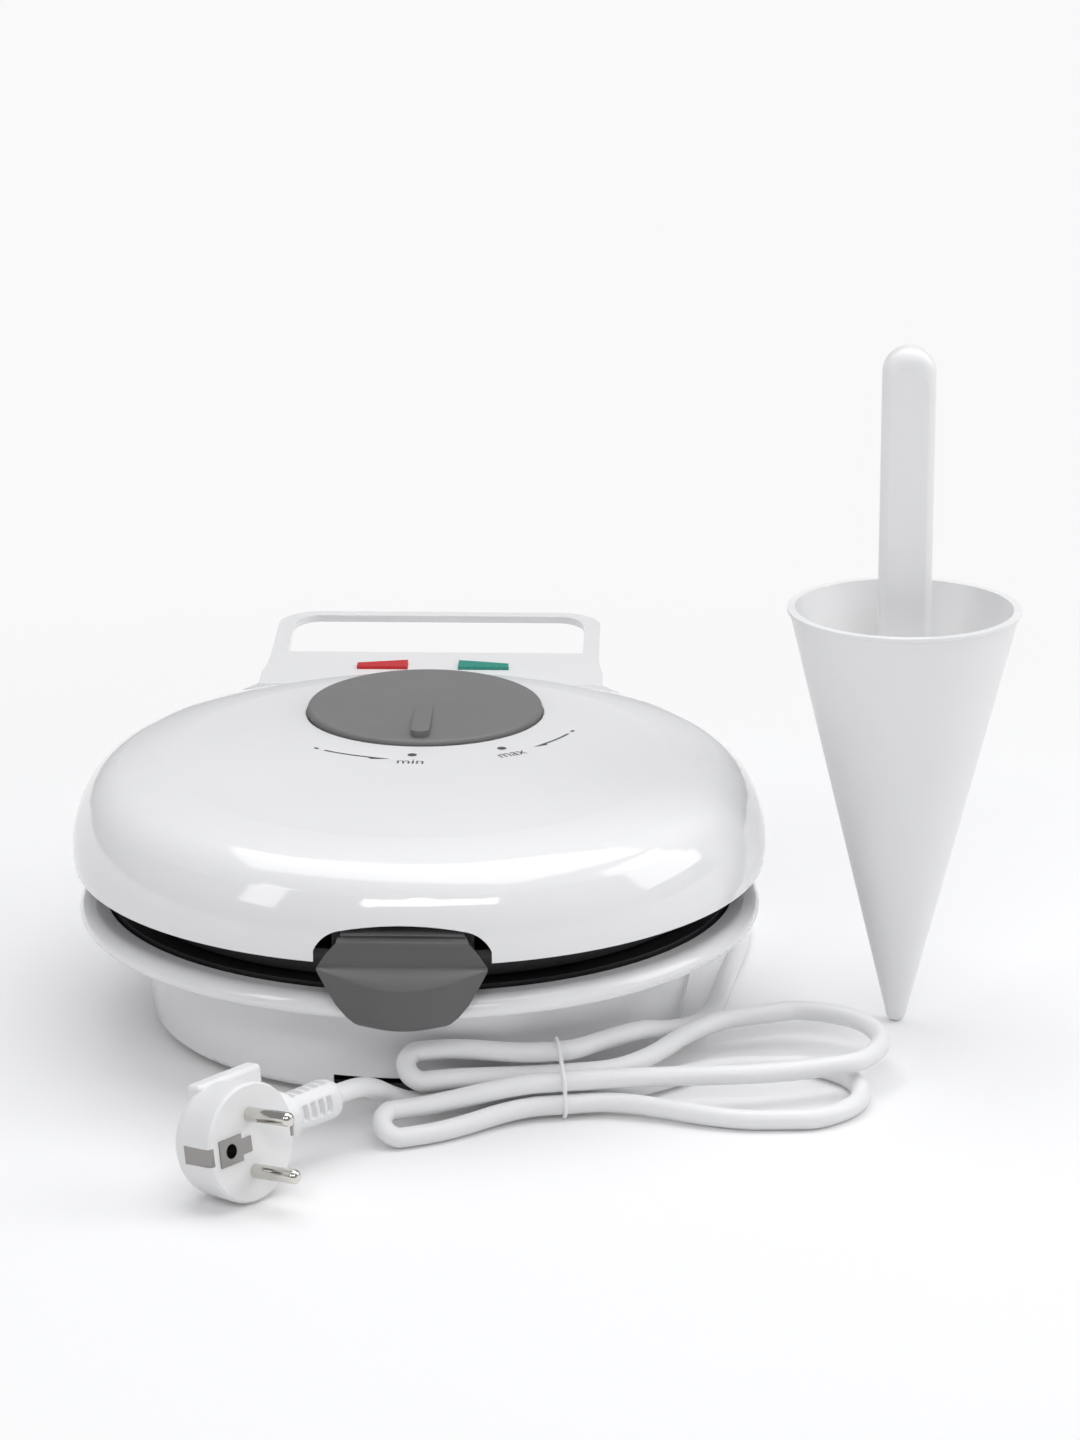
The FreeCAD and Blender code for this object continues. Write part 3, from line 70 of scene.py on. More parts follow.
def addCamera(settings):
    data = bpy.data.cameras.new("photoCamera")
    data.sensor_fit = "HORIZONTAL"
    data.sensor_width = settings["sensor"]
    data.lens = settings["lens"]
    camera = addPiece("photoCamera", data)
    camera.location = settings["place"]
    camera.rotation_euler = (math.radians(settings["pitch"]), 0, math.radians(settings["yaw"]))
    bpy.context.scene.camera = camera


addCamera(cameraSettings)
print("camera placed")


# studio: a pale floor, a bright surround and soft boxes
studio = {
    "floorSize": 14.0,
    "floorColour": (0.80, 0.80, 0.802, 1),
    "floorRough": 0.9,
    "floorShine": 0.1,
    "floorLift": 0.10,  # glow that only the camera and reflections see
    "backdrop": 0.948,
    "middle": (0.06, -0.03, 0.0),
    "litReach": (0.24, 0.62),  # from shaded paper to even backdrop
    "surround": (0.94, 0.95, 1.0, 1),
    "surroundStrength": 0.30,
    "softBoxes": [
        # name, place, aimed at, width, height, watts
        ("overheadBox", (0.15, 0.25, 1.9), (0.05, 0.0, 0.05), 2.4, 1.7, 28),
        ("leftBox", (-1.25, -1.0, 1.0), (0.0, 0.0, 0.06), 0.4, 0.8, 3.5),
        ("rightBox", (1.7, 0.1, 0.95), (0.1, 0.0, 0.06), 1.0, 1.1, 9),
        ("frontBox", (0.2, -1.7, 1.25), (0.05, 0.0, 0.06), 1.5, 0.2, 8),
    ],
}


def addFloor(settings):
    half = settings["floorSize"] / 2
    mesh = bpy.data.meshes.new("studioFloor")
    corners = [(-half, -half, 0), (half, -half, 0), (half, half, 0), (-half, half, 0)]
    mesh.from_pydata(corners, [], [(0, 1, 2, 3)])
    floor = addPiece("studioFloor", mesh)
    paper = bpy.data.materials.new("studioPaper")
    paper.use_nodes = True
    tree = paper.node_tree
    shader = tree.nodes["Principled BSDF"]
    shader.inputs["Base Color"].default_value = settings["floorColour"]
    shader.inputs["Roughness"].default_value = settings["floorRough"]
    shader.inputs["Specular IOR Level"].default_value = settings["floorShine"]
    shader.inputs["Emission Color"].default_value = (1, 1, 1, 1)
    light = tree.nodes.new("ShaderNodeLightPath")
    seen = tree.nodes.new("ShaderNodeMath")
    seen.operation = "MAXIMUM"
    tree.links.new(light.outputs["Is Camera Ray"], seen.inputs[0])
    tree.links.new(light.outputs["Is Glossy Ray"], seen.inputs[1])
    lift = tree.nodes.new("ShaderNodeMath")
    lift.operation = "MULTIPLY"
    lift.inputs[1].default_value = settings["floorLift"]
    tree.links.new(seen.outputs[0], lift.inputs[0])
    tree.links.new(lift.outputs[0], shader.inputs["Emission Strength"])
    # away from the object the paper fades to one even white
    place = tree.nodes.new("ShaderNodeTexCoord")
    reach = tree.nodes.new("ShaderNodeVectorMath")
    reach.operation = "DISTANCE"
    reach.inputs[1].default_value = settings["middle"]
    tree.links.new(place.outputs["Object"], reach.inputs[0])
    fade = tree.nodes.new("ShaderNodeMapRange")
    fade.interpolation_type = "SMOOTHSTEP"
    fade.inputs["From Min"].default_value = settings["litReach"][0]
    fade.inputs["From Max"].default_value = settings["litReach"][1]
    tree.links.new(reach.outputs["Value"], fade.inputs["Value"])
    share = tree.nodes.new("ShaderNodeMath")
    share.operation = "MULTIPLY"
    tree.links.new(fade.outputs["Result"], share.inputs[0])
    tree.links.new(seen.outputs[0], share.inputs[1])
    even = tree.nodes.new("ShaderNodeEmission")
    even.inputs["Strength"].default_value = settings["backdrop"]
    both = tree.nodes.new("ShaderNodeMixShader")
    tree.links.new(share.outputs[0], both.inputs[0])
    tree.links.new(shader.outputs[0], both.inputs[1])
    tree.links.new(even.outputs[0], both.inputs[2])
    tree.links.new(both.outputs[0], tree.nodes["Material Output"].inputs["Surface"])
    mesh.materials.append(paper)


def addLights(settings):
    world = bpy.data.worlds.new("studioSurround")
    world.use_nodes = True
    back = world.node_tree.nodes["Background"]
    back.inputs["Color"].default_value = settings["surround"]
    back.inputs["Strength"].default_value = settings["surroundStrength"]
    bpy.context.scene.world = world
    for name, place, aim, width, height, watts in settings["softBoxes"]:
        data = bpy.data.lights.new(name, "AREA")
        data.shape = "RECTANGLE"
        data.size = width
        data.size_y = height
        data.energy = watts
        lamp = addPiece(name, data)
        lamp.location = place
        lamp.rotation_euler = (Vector(aim) - Vector(place)).to_track_quat("-Z", "Y").to_euler()


addFloor(studio)
addLights(studio)
bpy.context.scene.view_settings.view_transform = "Standard"
print("studio lit")


# finishes: colour drift, roughness drift and a fine bump, all in object space
plainFinish = {
    "spread": 0.025,
    "driftScale": 14.0,
    "driftDetail": 4.0,
    "driftRange": (0.3, 0.7),
    "wearScale": 60.0,
    "wearDetail": 6.0,
    "ribs": 0.0,
    "grainScale": 1800.0,
    "grainDetail": 3.0,
    "grainDepth": 0.0001,
    "bump": 0.1,
    "metal": 0.0,
    "coat": 0.0,
    "coatRough": 0.05,
    "clear": 0.0,
    "soft": 0.0,
    "softReach": (0.002, 0.002, 0.002),
}


def addNoise(tree, place, scale, detail):
    noise = tree.nodes.new("ShaderNodeTexNoise")
    noise.inputs["Scale"].default_value = scale
    noise.inputs["Detail"].default_value = detail
    tree.links.new(place.outputs["Object"], noise.inputs["Vector"])
    return noise.outputs["Fac"]


def addRibs(tree, place, scale):
    ribs = tree.nodes.new("ShaderNodeTexWave")
    ribs.bands_direction = "X"
    ribs.inputs["Scale"].default_value = scale
    tree.links.new(place.outputs["Object"], ribs.inputs["Vector"])
    return ribs.outputs["Fac"]


def makeFinish(own):
    spec = {**plainFinish, **own}
    finish = bpy.data.materials.new(spec["name"])
    finish.use_nodes = True
    tree = finish.node_tree
    shader = tree.nodes["Principled BSDF"]
    place = tree.nodes.new("ShaderNodeTexCoord")

    drift = addNoise(tree, place, spec["driftScale"], spec["driftDetail"])
    tint = tree.nodes.new("ShaderNodeValToRGB")
    shades = (1 - spec["spread"], 1 + spec["spread"])
    for stop, position, shade in zip(tint.color_ramp.elements, spec["driftRange"], shades):
        stop.position = position
        stop.color = tuple(min(c * shade, 1) for c in spec["colour"]) + (1,)
    tree.links.new(drift, tint.inputs["Fac"])
    tree.links.new(tint.outputs["Color"], shader.inputs["Base Color"])

    wear = addNoise(tree, place, spec["wearScale"], spec["wearDetail"])
    gloss = tree.nodes.new("ShaderNodeMapRange")
    gloss.inputs["To Min"].default_value = spec["rough"][0]
    gloss.inputs["To Max"].default_value = spec["rough"][1]
    tree.links.new(wear, gloss.inputs["Value"])
    tree.links.new(gloss.outputs["Result"], shader.inputs["Roughness"])

    if spec["ribs"]:
        height = addRibs(tree, place, spec["ribs"])
    else:
        height = addNoise(tree, place, spec["grainScale"], spec["grainDetail"])
    bump = tree.nodes.new("ShaderNodeBump")
    bump.inputs["Strength"].default_value = spec["bump"]
    bump.inputs["Distance"].default_value = spec["grainDepth"]
    tree.links.new(height, bump.inputs["Height"])
    tree.links.new(bump.outputs["Normal"], shader.inputs["Normal"])

    shader.inputs["Metallic"].default_value = spec["metal"]
    shader.inputs["Coat Weight"].default_value = spec["coat"]
    shader.inputs["Coat Roughness"].default_value = spec["coatRough"]
    shader.inputs["Transmission Weight"].default_value = spec["clear"]
    shader.inputs["Subsurface Weight"].default_value = spec["soft"]
    if spec["soft"]:
        shader.inputs["Subsurface Radius"].default_value = spec["softReach"]
    return finish


def coatMesh(mesh, finish):
    mesh.materials.clear()
    mesh.materials.append(finish)
    for face in mesh.polygons:
        face.material_index = 0


def coatNodes(finish, names):
    for name in names:
        coatMesh(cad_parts[name].data, finish)


shellFinish = makeFinish({
    "name": "glossWhiteShell", "colour": (0.85, 0.85, 0.855), "spread": 0.012,
    "rough": (0.06, 0.11), "bump": 0.05, "grainScale": 700.0, "grainDepth": 0.00005, "coat": 0.25,
})
formFinish = makeFinish({
    "name": "satinWhiteForm", "colour": (0.88, 0.88, 0.88), "spread": 0.012,
    "rough": (0.28, 0.40), "bump": 0.08, "soft": 0.15,
})
dialFinish = makeFinish({
    "name": "satinGreyDial", "colour": (0.185, 0.185, 0.185), "spread": 0.04,
    "rough": (0.42, 0.55), "bump": 0.22, "grainScale": 2600.0,
})
latchFinish = makeFinish({
    "name": "satinGreyLatch", "colour": (0.105, 0.105, 0.106), "spread": 0.04,
    "rough": (0.32, 0.42), "bump": 0.14, "grainScale": 2600.0,
})
plateFinish = makeFinish({
    "name": "nonStickPlate", "colour": (0.014, 0.014, 0.016), "spread": 0.3, "driftScale": 500.0,
    "rough": (0.34, 0.52), "bump": 0.3, "grainScale": 900.0,
})
blackFinish = makeFinish({
    "name": "mattBlackPlastic", "colour": (0.014, 0.014, 0.015), "spread": 0.1,
    "rough": (0.45, 0.6), "bump": 0.25,
})
rubberFinish = makeFinish({
    "name": "footRubber", "colour": (0.02, 0.02, 0.02), "spread": 0.15,
    "rough": (0.7, 0.85), "bump": 0.35, "grainScale": 1200.0,
})
steelFinish = makeFinish({
    "name": "plainSteel", "colour": (0.56, 0.56, 0.55), "spread": 0.06, "metal": 1.0,
    "rough": (0.25, 0.4), "bump": 0.12,
})
nickelFinish = makeFinish({
    "name": "platedNickel", "colour": (0.70, 0.68, 0.64), "spread": 0.04, "metal": 1.0,
    "rough": (0.10, 0.2), "bump": 0.06,
})
contactFinish = makeFinish({
    "name": "dullContact", "colour": (0.34, 0.33, 0.32), "spread": 0.08, "metal": 1.0,
    "rough": (0.24, 0.38), "bump": 0.1,
})
sheetFinish = makeFinish({
    "name": "brightSheet", "colour": (0.78, 0.78, 0.78), "spread": 0.04, "metal": 1.0,
    "rough": (0.2, 0.35), "bump": 0.1,
})
redFinish = makeFinish({
    "name": "redLens", "colour": (0.52, 0.010, 0.016), "spread": 0.12, "rough": (0.16, 0.26),
    "ribs": 260.0, "bump": 0.35, "grainDepth": 0.0002,
})
greenFinish = makeFinish({
    "name": "greenLens", "colour": (0.010, 0.27, 0.20), "spread": 0.12, "rough": (0.16, 0.26),
    "ribs": 260.0, "bump": 0.35, "grainDepth": 0.0002,
})
lampFinish = makeFinish({
    "name": "lampGlass", "colour": (0.9, 0.85, 0.8), "spread": 0.02, "rough": (0.03, 0.08),
    "bump": 0.02, "clear": 0.9,
})
cordFinish = makeFinish({
    "name": "softWhiteCord", "colour": (0.86, 0.86, 0.862), "spread": 0.02,
    "rough": (0.34, 0.46), "bump": 0.12, "grainScale": 900.0, "soft": 0.1,
})
plugFinish = makeFinish({
    "name": "satinWhitePlug", "colour": (0.83, 0.83, 0.83), "spread": 0.015,
    "rough": (0.32, 0.42), "bump": 0.12, "soft": 0.1,
})
inkFinish = makeFinish({
    "name": "greyInk", "colour": (0.075, 0.075, 0.08), "spread": 0.1, "rough": (0.4, 0.55), "bump": 0.05,
})
coatNodes(shellFinish, ["base_housing"])
coatNodes(formFinish, ["cone_shell", "cone_handle"])
coatNodes(dialFinish, ["dial_knob"])
coatNodes(plateFinish, ["upper_plate", "lower_plate"])
coatNodes(blackFinish, ["latch_bracket", "bottom_cover", "terminal_block", "thermostat", "thermal_fuse"])
coatNodes(rubberFinish, ["rubber_foot_%d" % i for i in range(1, 5)])
coatNodes(steelFinish, ["hinge_pin", "latch_pin", "latch_spring", "thermostat_shaft"])
coatNodes(steelFinish, ["upper_heating_element", "lower_heating_element"])
coatNodes(steelFinish, ["cover_screw_%d" % i for i in range(1, 5)])
coatNodes(sheetFinish, ["upper_reflector", "lower_reflector"])
coatNodes(redFinish, ["red_lamp_lens"])
coatNodes(greenFinish, ["green_lamp_lens"])
coatNodes(lampFinish, ["red_lamp", "green_lamp"])
coatNodes(cordFinish, ["cord_gland", "cord_tie"])
coatNodes(plugFinish, ["plug_body"])
coatNodes(nickelFinish, ["plug_pin_upper", "plug_pin_lower"])
coatNodes(contactFinish, ["earth_clip_left", "earth_clip_right"])
print("finishes set")


# plug fittings in the plug's own frame: x along the cord, z out along the pins
plug = {
    "place": (-0.045, -0.182, 0.02037),
    "turn": 51.0,
    "lean": 8.0,
    "socket": (-0.010, 0.0),
    "frameHalf": (0.0050, 0.0044),
    "frameProud": 0.0005,
    "frameSunk": 0.0002,
    "boreRadius": 0.0024,
    "boreDepth": 0.0080,
    "boreSteps": 32,
    "tongue": (-0.0055, -0.0005, 0.0026),  # start, end, half width
    "tongueProud": 0.0004,
    "tongueBevel": 0.0002,
    "grip": ((-0.0075, 0.0120, -0.0200), (0.0215, 0.0192, -0.0135)),
    "gripBevel": 0.0015,
    "bevelSteps": 3,
    "sharpAngle": 40.0,
    "sleeveAxis": -0.0115,
    "sleeveStart": 0.0245,
    "sleeveEnd": 0.0500,
    "sleeveRadius": 0.0064,
    "sleeveMouth": 0.0040,
    "sleeveNose": 0.0050,
    "sleeveFlare": 0.06,  # growth of the radius along the sleeve
    "sleeveSquare": 0.45,  # none is a circle, one is a rounded square
    "sleeveSteps": 104,
    "sleeveAround": 120,
    "slotDepth": 0.0019,
    "slotFloor": 0.0007,
    "slotSide": 0.0006,
    "slotFade": 6.0,  # degrees
    # middle angle from local y towards local z, half angle, first slot, step, count
    "slotRows": [(-6, 33, 0.0290, 0.0037, 5), (88, 26, 0.0308, 0.0037, 4)],
}


def plugFrame(spec):
    turn = math.radians(spec["turn"])
    lean = math.radians(spec["lean"])
    x = Vector((math.cos(turn), math.sin(turn), 0))
    z = Vector((math.sin(turn) * math.cos(lean), -math.cos(turn) * math.cos(lean), math.sin(lean)))
    y = z.cross(x)
    origin = Vector(spec["place"])
    return lambda p: origin + x * p[0] + y * p[1] + z * p[2]


def addFitting(name, corners, faces, finish, bevel=0.0):
    mesh = bpy.data.meshes.new(name)
    mesh.from_pydata(corners, [], faces)
    mesh.materials.append(finish)
    mesh.shade_smooth()
    mesh.set_sharp_from_angle(angle=math.radians(plug["sharpAngle"]))
    piece = addPiece(name, mesh)
    if bevel:
        softenEdges(piece, bevel, plug["bevelSteps"])
    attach(piece, "base")
    return piece


def boxCorners(low, high):
    xs, ys, zs = zip(low, high)
    corners = [(x, y, z) for z in zs for y in ys for x in xs]
    faces = [(0, 2, 3, 1), (4, 5, 7, 6), (0, 1, 5, 4), (2, 6, 7, 3), (0, 4, 6, 2), (1, 3, 7, 5)]
    return corners, faces


def ease(value, edge, width):
    # one inside edge, none beyond edge + width
    share = min(max((edge + width - abs(value)) / width, 0.0), 1.0)
    return share * share * (3 - 2 * share)


def sleevePoint(spec, x, angle):
    start = spec["sleeveStart"]
    end = spec["sleeveEnd"]
    # a rounded square: one on the flats, more towards the corners
    square = (abs(math.cos(angle)) ** 4 + abs(math.sin(angle)) ** 4) ** -0.25
    nose = max(0.0, (x - end + spec["sleeveNose"]) / spec["sleeveNose"])
    radius = spec["sleeveRadius"] * (1 + spec["sleeveFlare"] * (x - start) / (end - start))
    radius *= 1 - spec["sleeveSquare"] + spec["sleeveSquare"] * square
    radius -= (radius - spec["sleeveMouth"]) * (1 - math.sqrt(max(0.0, 1 - nose * nose)))
    for middle, half, first, step, count in spec["slotRows"]:
        off = (math.degrees(angle) - middle + 180) % 360 - 180
        across = ease(off, half - spec["slotFade"], spec["slotFade"])
        along = sum(ease(x - first - i * step, spec["slotFloor"], spec["slotSide"]) for i in range(count))
        radius -= spec["slotDepth"] * across * along
    return (x, radius * math.cos(angle), spec["sleeveAxis"] + radius * math.sin(angle))


def addEarthSocket(spec, toWorld):
    # metal frame with a round mouth: outer foot, outer top, mouth, bore floor
    sx, sy = spec["socket"]
    hx, hy = spec["frameHalf"]
    around = spec["boreSteps"]
    ring = [(math.cos(2 * math.pi * i / around), math.sin(2 * math.pi * i / around)) for i in range(around)]
    corners = []
    for level in (-spec["frameSunk"], spec["frameProud"]):
        for c, s in ring:
            grow = 1 / max(abs(c), abs(s))
            corners.append((sx + hx * c * grow, sy + hy * s * grow, level))
    for level in (spec["frameProud"], -spec["boreDepth"]):
        corners += [(sx + spec["boreRadius"] * c, sy + spec["boreRadius"] * s, level) for c, s in ring]
    faces = []
    last = len(corners) - around
    for a in range(0, last, around):
        for i in range(around):
            j = (i + 1) % around
            faces.append((a + i, a + j, a + around + j, a + around + i))
    faces.append(tuple(range(last, len(corners))))
    return addFitting("earthSocket", [toWorld(p) for p in corners], faces, contactFinish)


def addEarthTongue(spec, toWorld):
    start, end, half = spec["tongue"]
    middle = spec["socket"][1]
    low = (start, middle - half, -spec["frameSunk"])
    high = (end, middle + half, spec["tongueProud"])
    corners, faces = boxCorners(low, high)
    corners = [toWorld(p) for p in corners]
    return addFitting("earthTongue", corners, faces, contactFinish, spec["tongueBevel"])


def addPlugGrip(spec, toWorld):
    corners, faces = boxCorners(*spec["grip"])
    corners = [toWorld(p) for p in corners]
    return addFitting("plugGrip", corners, faces, plugFinish, spec["gripBevel"])


def addPlugSleeve(spec, toWorld):
    steps = spec["sleeveSteps"]
    around = spec["sleeveAround"]
    corners = []
    faces = []
    for i in range(steps + 1):
        x = spec["sleeveStart"] + (spec["sleeveEnd"] - spec["sleeveStart"]) * i / steps
        corners += [toWorld(sleevePoint(spec, x, 2 * math.pi * k / around)) for k in range(around)]
    for i in range(steps):
        a = i * around
        b = (i + 1) * around
        for k in range(around):
            m = (k + 1) % around
            faces.append((a + k, b + k, b + m, a + m))
    faces.append(tuple(range(around)))
    faces.append(tuple(steps * around + k for k in reversed(range(around))))
    sleeve = addFitting("plugSleeve", corners, faces, plugFinish)
    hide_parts("strain_relief")
    return sleeve


plugWorld = plugFrame(plug)
plugFittings = [
    addEarthSocket(plug, plugWorld),
    addEarthTongue(plug, plugWorld),
    addPlugGrip(plug, plugWorld),
    addPlugSleeve(plug, plugWorld),
]
print("plug fitted")


# mains cord: the lead from the drum, the tied hank and the tail to the plug, in metres
cord = {
    "diameter": 0.0068,
    "glandTurn": 62.0,
    "glandEnd": 0.118,
    "glandZ": 0.014,
    "glandRun": 0.013,
    "lead": [
        (0.071, 0.1295, 0.011), (0.085, 0.1345, 0.0075), (0.099, 0.130, 0.0048), (0.110, 0.117, 0.0036),
        (0.1145, 0.098, 0.0035), (0.115, 0.073, 0.0035), (0.112, 0.048, 0.0035), (0.108, 0.023, 0.0036),
        (0.105, -0.002, 0.0036), (0.0995, -0.026, 0.005), (0.088, -0.0505, 0.0112),
    ],
    "leadEnd": (0.0674, -0.0802, 0.0189),
    "leadEndTurn": 221.0,  # degrees, as every turn here
    "leadRun": 0.016,
    "tie": (0.052, -0.1015),
    "tieTurn": 12.0,
    "columnStep": 0.0077,
    "rowRise": 0.0073,
    "rowLean": 0.0022,
    "firstColumn": -0.0042,
    "firstRow": 0.0049,
    "strands": [(2, 1), (1, 1), (1, 0), (0, 0), (0, 1)],  # row and column in the tie
    # centre of each half turn, its outward way, radius, first and second height, side
    "halfTurns": [
        (0.006, -0.1075, 197, 0.0042, 0.0226, 0.0150, 1),
        (0.134, -0.060, 22, 0.0265, 0.0126, 0.0118, -1),
        (-0.001, -0.1296, 204, 0.0047, 0.0098, 0.0037, 1),
        (0.127, -0.088, 3, 0.026, 0.0035, 0.0035, 1),
    ],
    "turnKnots": 4,
    "stub": 0.012,
    "tailRun": 0.0105,
    "tail": [
        (0.0175, -0.1052, 0.0046), (0.006, -0.108, 0.0052), (-0.0035, -0.113, 0.0098),
        (-0.0096, -0.1196, 0.0156),
    ],
    "plugRun": 0.012,
    "entrySlack": 0.0001,
    "straight": 1e-9,  # below this two ways count as parallel
    "curveOrder": 3,
    "curveSteps": 8,
    "ringSteps": 5,
    "carried": [
        "plug_body", "plug_pin_upper", "plug_pin_lower", "earth_clip_left", "earth_clip_right", "cord_tie",
    ],
}


def flatWay(degrees):
    return Vector((math.cos(math.radians(degrees)), math.sin(math.radians(degrees)), 0))


def plugEntry(slack):
    # middle of the strain relief's narrow end and the way that the cord leaves it
    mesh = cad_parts["strain_relief"].data
    way = flatWay(plug["turn"])
    reach = max(v.co.dot(way) for v in mesh.vertices)
    ring = [v.co for v in mesh.vertices if v.co.dot(way) > reach - slack]
    low = Vector([min(p[i] for p in ring) for i in range(3)])
    high = Vector([max(p[i] for p in ring) for i in range(3)])
    return (low + high) / 2, way


def cordRoute(spec):
    out = flatWay(spec["glandTurn"])
    start = out * spec["glandEnd"] + Vector((0, 0, spec["glandZ"]))
    points = [start, start + out * spec["glandRun"]] + [Vector(p) for p in spec["lead"]]
    here = Vector(spec["leadEnd"])
    heading = flatWay(spec["leadEndTurn"])
    points += [here - heading * spec["leadRun"], here]
    tieWay = flatWay(spec["tieTurn"])
    tieSide = Vector((-tieWay.y, tieWay.x, 0))

    def leg(a, wayA, b, wayB):
        # two handles of a smooth curve from a to b
        v = b - a
        k = 2 * (1 - wayA.dot(wayB))
        along = v.dot(wayA + wayB)
        if k < spec["straight"]:
            d = v.dot(v) / (4 * v.dot(wayA))
        else:
            d = (-along + math.sqrt(along * along + k * v.dot(v))) / k
        return [a + wayA * d, b - wayB * d, b]

    for turn, (row, column) in enumerate(spec["strands"]):
        side = spec["firstColumn"] + column * spec["columnStep"] + row * spec["rowLean"]
        slot = Vector(spec["tie"] + (spec["firstRow"] + row * spec["rowRise"],)) + tieSide * side
        strandWay = tieWay if turn % 2 else -tieWay
        points += leg(here, heading, slot, strandWay)
        here = slot
        heading = strandWay
        if turn < len(spec["halfTurns"]):
            x, y, outward, radius, zFirst, zSecond, hand = spec["halfTurns"][turn]
            way = flatWay(outward)
            across = Vector((-way.y, way.x, 0)) * radius * hand
            first = Vector((x, y, zFirst)) - across
            second = Vector((x, y, zSecond)) + across
            points += leg(here, heading, first, way)
            middle = (first + second) / 2
            spoke = first - middle
            halfStep = math.pi / (2 * spec["turnKnots"])
            for step in range(spec["turnKnots"]):
                angle = (2 * step + 1) * halfStep
                swing = spoke * math.cos(angle) + way * (spoke.length * math.sin(angle))
                points.append(middle + swing / math.cos(halfStep))
            points.append(second)
            here = second
            heading = -way
    here = here + heading * spec["stub"]
    points.append(here)
    points.append(here - tieWay * spec["tailRun"])
    end, along = plugEntry(spec["entrySlack"])
    points += [Vector(p) for p in spec["tail"]] + [end + along * spec["plugRun"], end]
    return points


def addCord(spec):
    points = cordRoute(spec)
    data = bpy.data.curves.new("mainsCord", "CURVE")
    data.dimensions = "3D"
    line = data.splines.new("NURBS")
    line.points.add(len(points) - 1)
    for knot, p in zip(line.points, points):
        knot.co = (p.x, p.y, p.z, 1)
    line.order_u = spec["curveOrder"]
    line.use_endpoint_u = True
    line.resolution_u = spec["curveSteps"]
    data.bevel_depth = spec["diameter"] / 2
    data.bevel_resolution = spec["ringSteps"]
    data.use_fill_caps = True
    data.materials.append(cordFinish)
    piece = addPiece("mainsCord", data)
    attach(piece, "base")
    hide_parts("cord_lead", "cord_hank", "cord_tail")


addCord(cord)
print("cord laid")


# lid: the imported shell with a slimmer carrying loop, run down to the crown by a shroud
lid = {
    "loopFront": 0.1205,
    "slabTop": 0.09361,  # height of the loop's slab over the body's axis
    "slabRise": 0.02619,  # its rise for each metre to the rear
    "slabThick": 0.005,
    "slabSlack": 0.0004,
    "topSlack": 0.0006,
    "loopThick": 0.0026,
    "loopRoot": 0.0035,
    "rootFront": 0.080,
    "flareEdge": 0.061,
    "flareKeep": 0.14,  # share of the side flare that stays
    "crownEnd": 0.095,
    "barFront": 0.1645,
    "barBack": 0.174,
    "barReach": 0.014,
    "barSlack": 0.0005,
    "barHalf": 0.0552,
    "barTrim": 0.5,  # share of the bar's depth taken off its front
    "shroud": [(0.0612, 0.090), (0.0612, 0.1035), (0.0585, 0.110), (0.052, 0.116)],
    "shroudFoot": 0.0785,
    "shroudSunk": 0.0024,
    "shroudBevel": 0.0012,
    "bevelSteps": 3,
}


def slabHeight(spec, y):
    return spec["slabTop"] + spec["slabRise"] * y


def shapeLid(spec):
    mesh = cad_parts["lid_cover"].data.copy()
    mesh.name = "lidShell"
    barStart = spec["barFront"] - spec["barReach"]
    barShift = spec["barTrim"] * (spec["barBack"] - spec["barFront"])
    for v in mesh.vertices:
        top = slabHeight(spec, v.co.y)
        depth = top - v.co.z
        onSlab = -spec["slabSlack"] < depth < spec["slabThick"] + spec["slabSlack"]
        if not onSlab or v.co.y < spec["rootFront"]:
            continue
        over = abs(v.co.x) - spec["flareEdge"]
        clear = depth < spec["topSlack"] or v.co.y > spec["crownEnd"]
        if over > 0 and clear:
            v.co.x = math.copysign(spec["flareEdge"] + over * spec["flareKeep"], v.co.x)
        if v.co.y > spec["loopFront"] + spec["loopRoot"] and depth > spec["slabThick"] / 2:
            v.co.z = top - spec["loopThick"]
        if barStart < v.co.y < spec["barFront"] + spec["barSlack"] and abs(v.co.x) < spec["barHalf"]:
            v.co.y += (v.co.y - barStart) / spec["barReach"] * barShift
    coatMesh(mesh, shellFinish)
    piece = addPiece("lidShell", mesh)
    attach(piece, "lid")
    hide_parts("lid_cover")


def addShroud(spec):
    edge = spec["shroud"] + [(-x, y) for x, y in reversed(spec["shroud"])]
    count = len(edge)
    roof = [(x, y, slabHeight(spec, y) - spec["shroudSunk"]) for x, y in edge]
    foot = [(x, y, spec["shroudFoot"]) for x, y in edge]
    faces = [(i, i + count, (i + 1) % count + count, (i + 1) % count) for i in range(count)]
    faces += [tuple(range(count)), tuple(reversed(range(count, 2 * count)))]
    skirt = bpy.data.meshes.new("loopShroud")
    skirt.from_pydata(roof + foot, [], faces)
    skirt.materials.append(shellFinish)
    block = addPiece("loopShroud", skirt)
    softenEdges(block, spec["shroudBevel"], spec["bevelSteps"])
    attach(block, "lid")


shapeLid(lid)
addShroud(lid)
print("lid shaped")


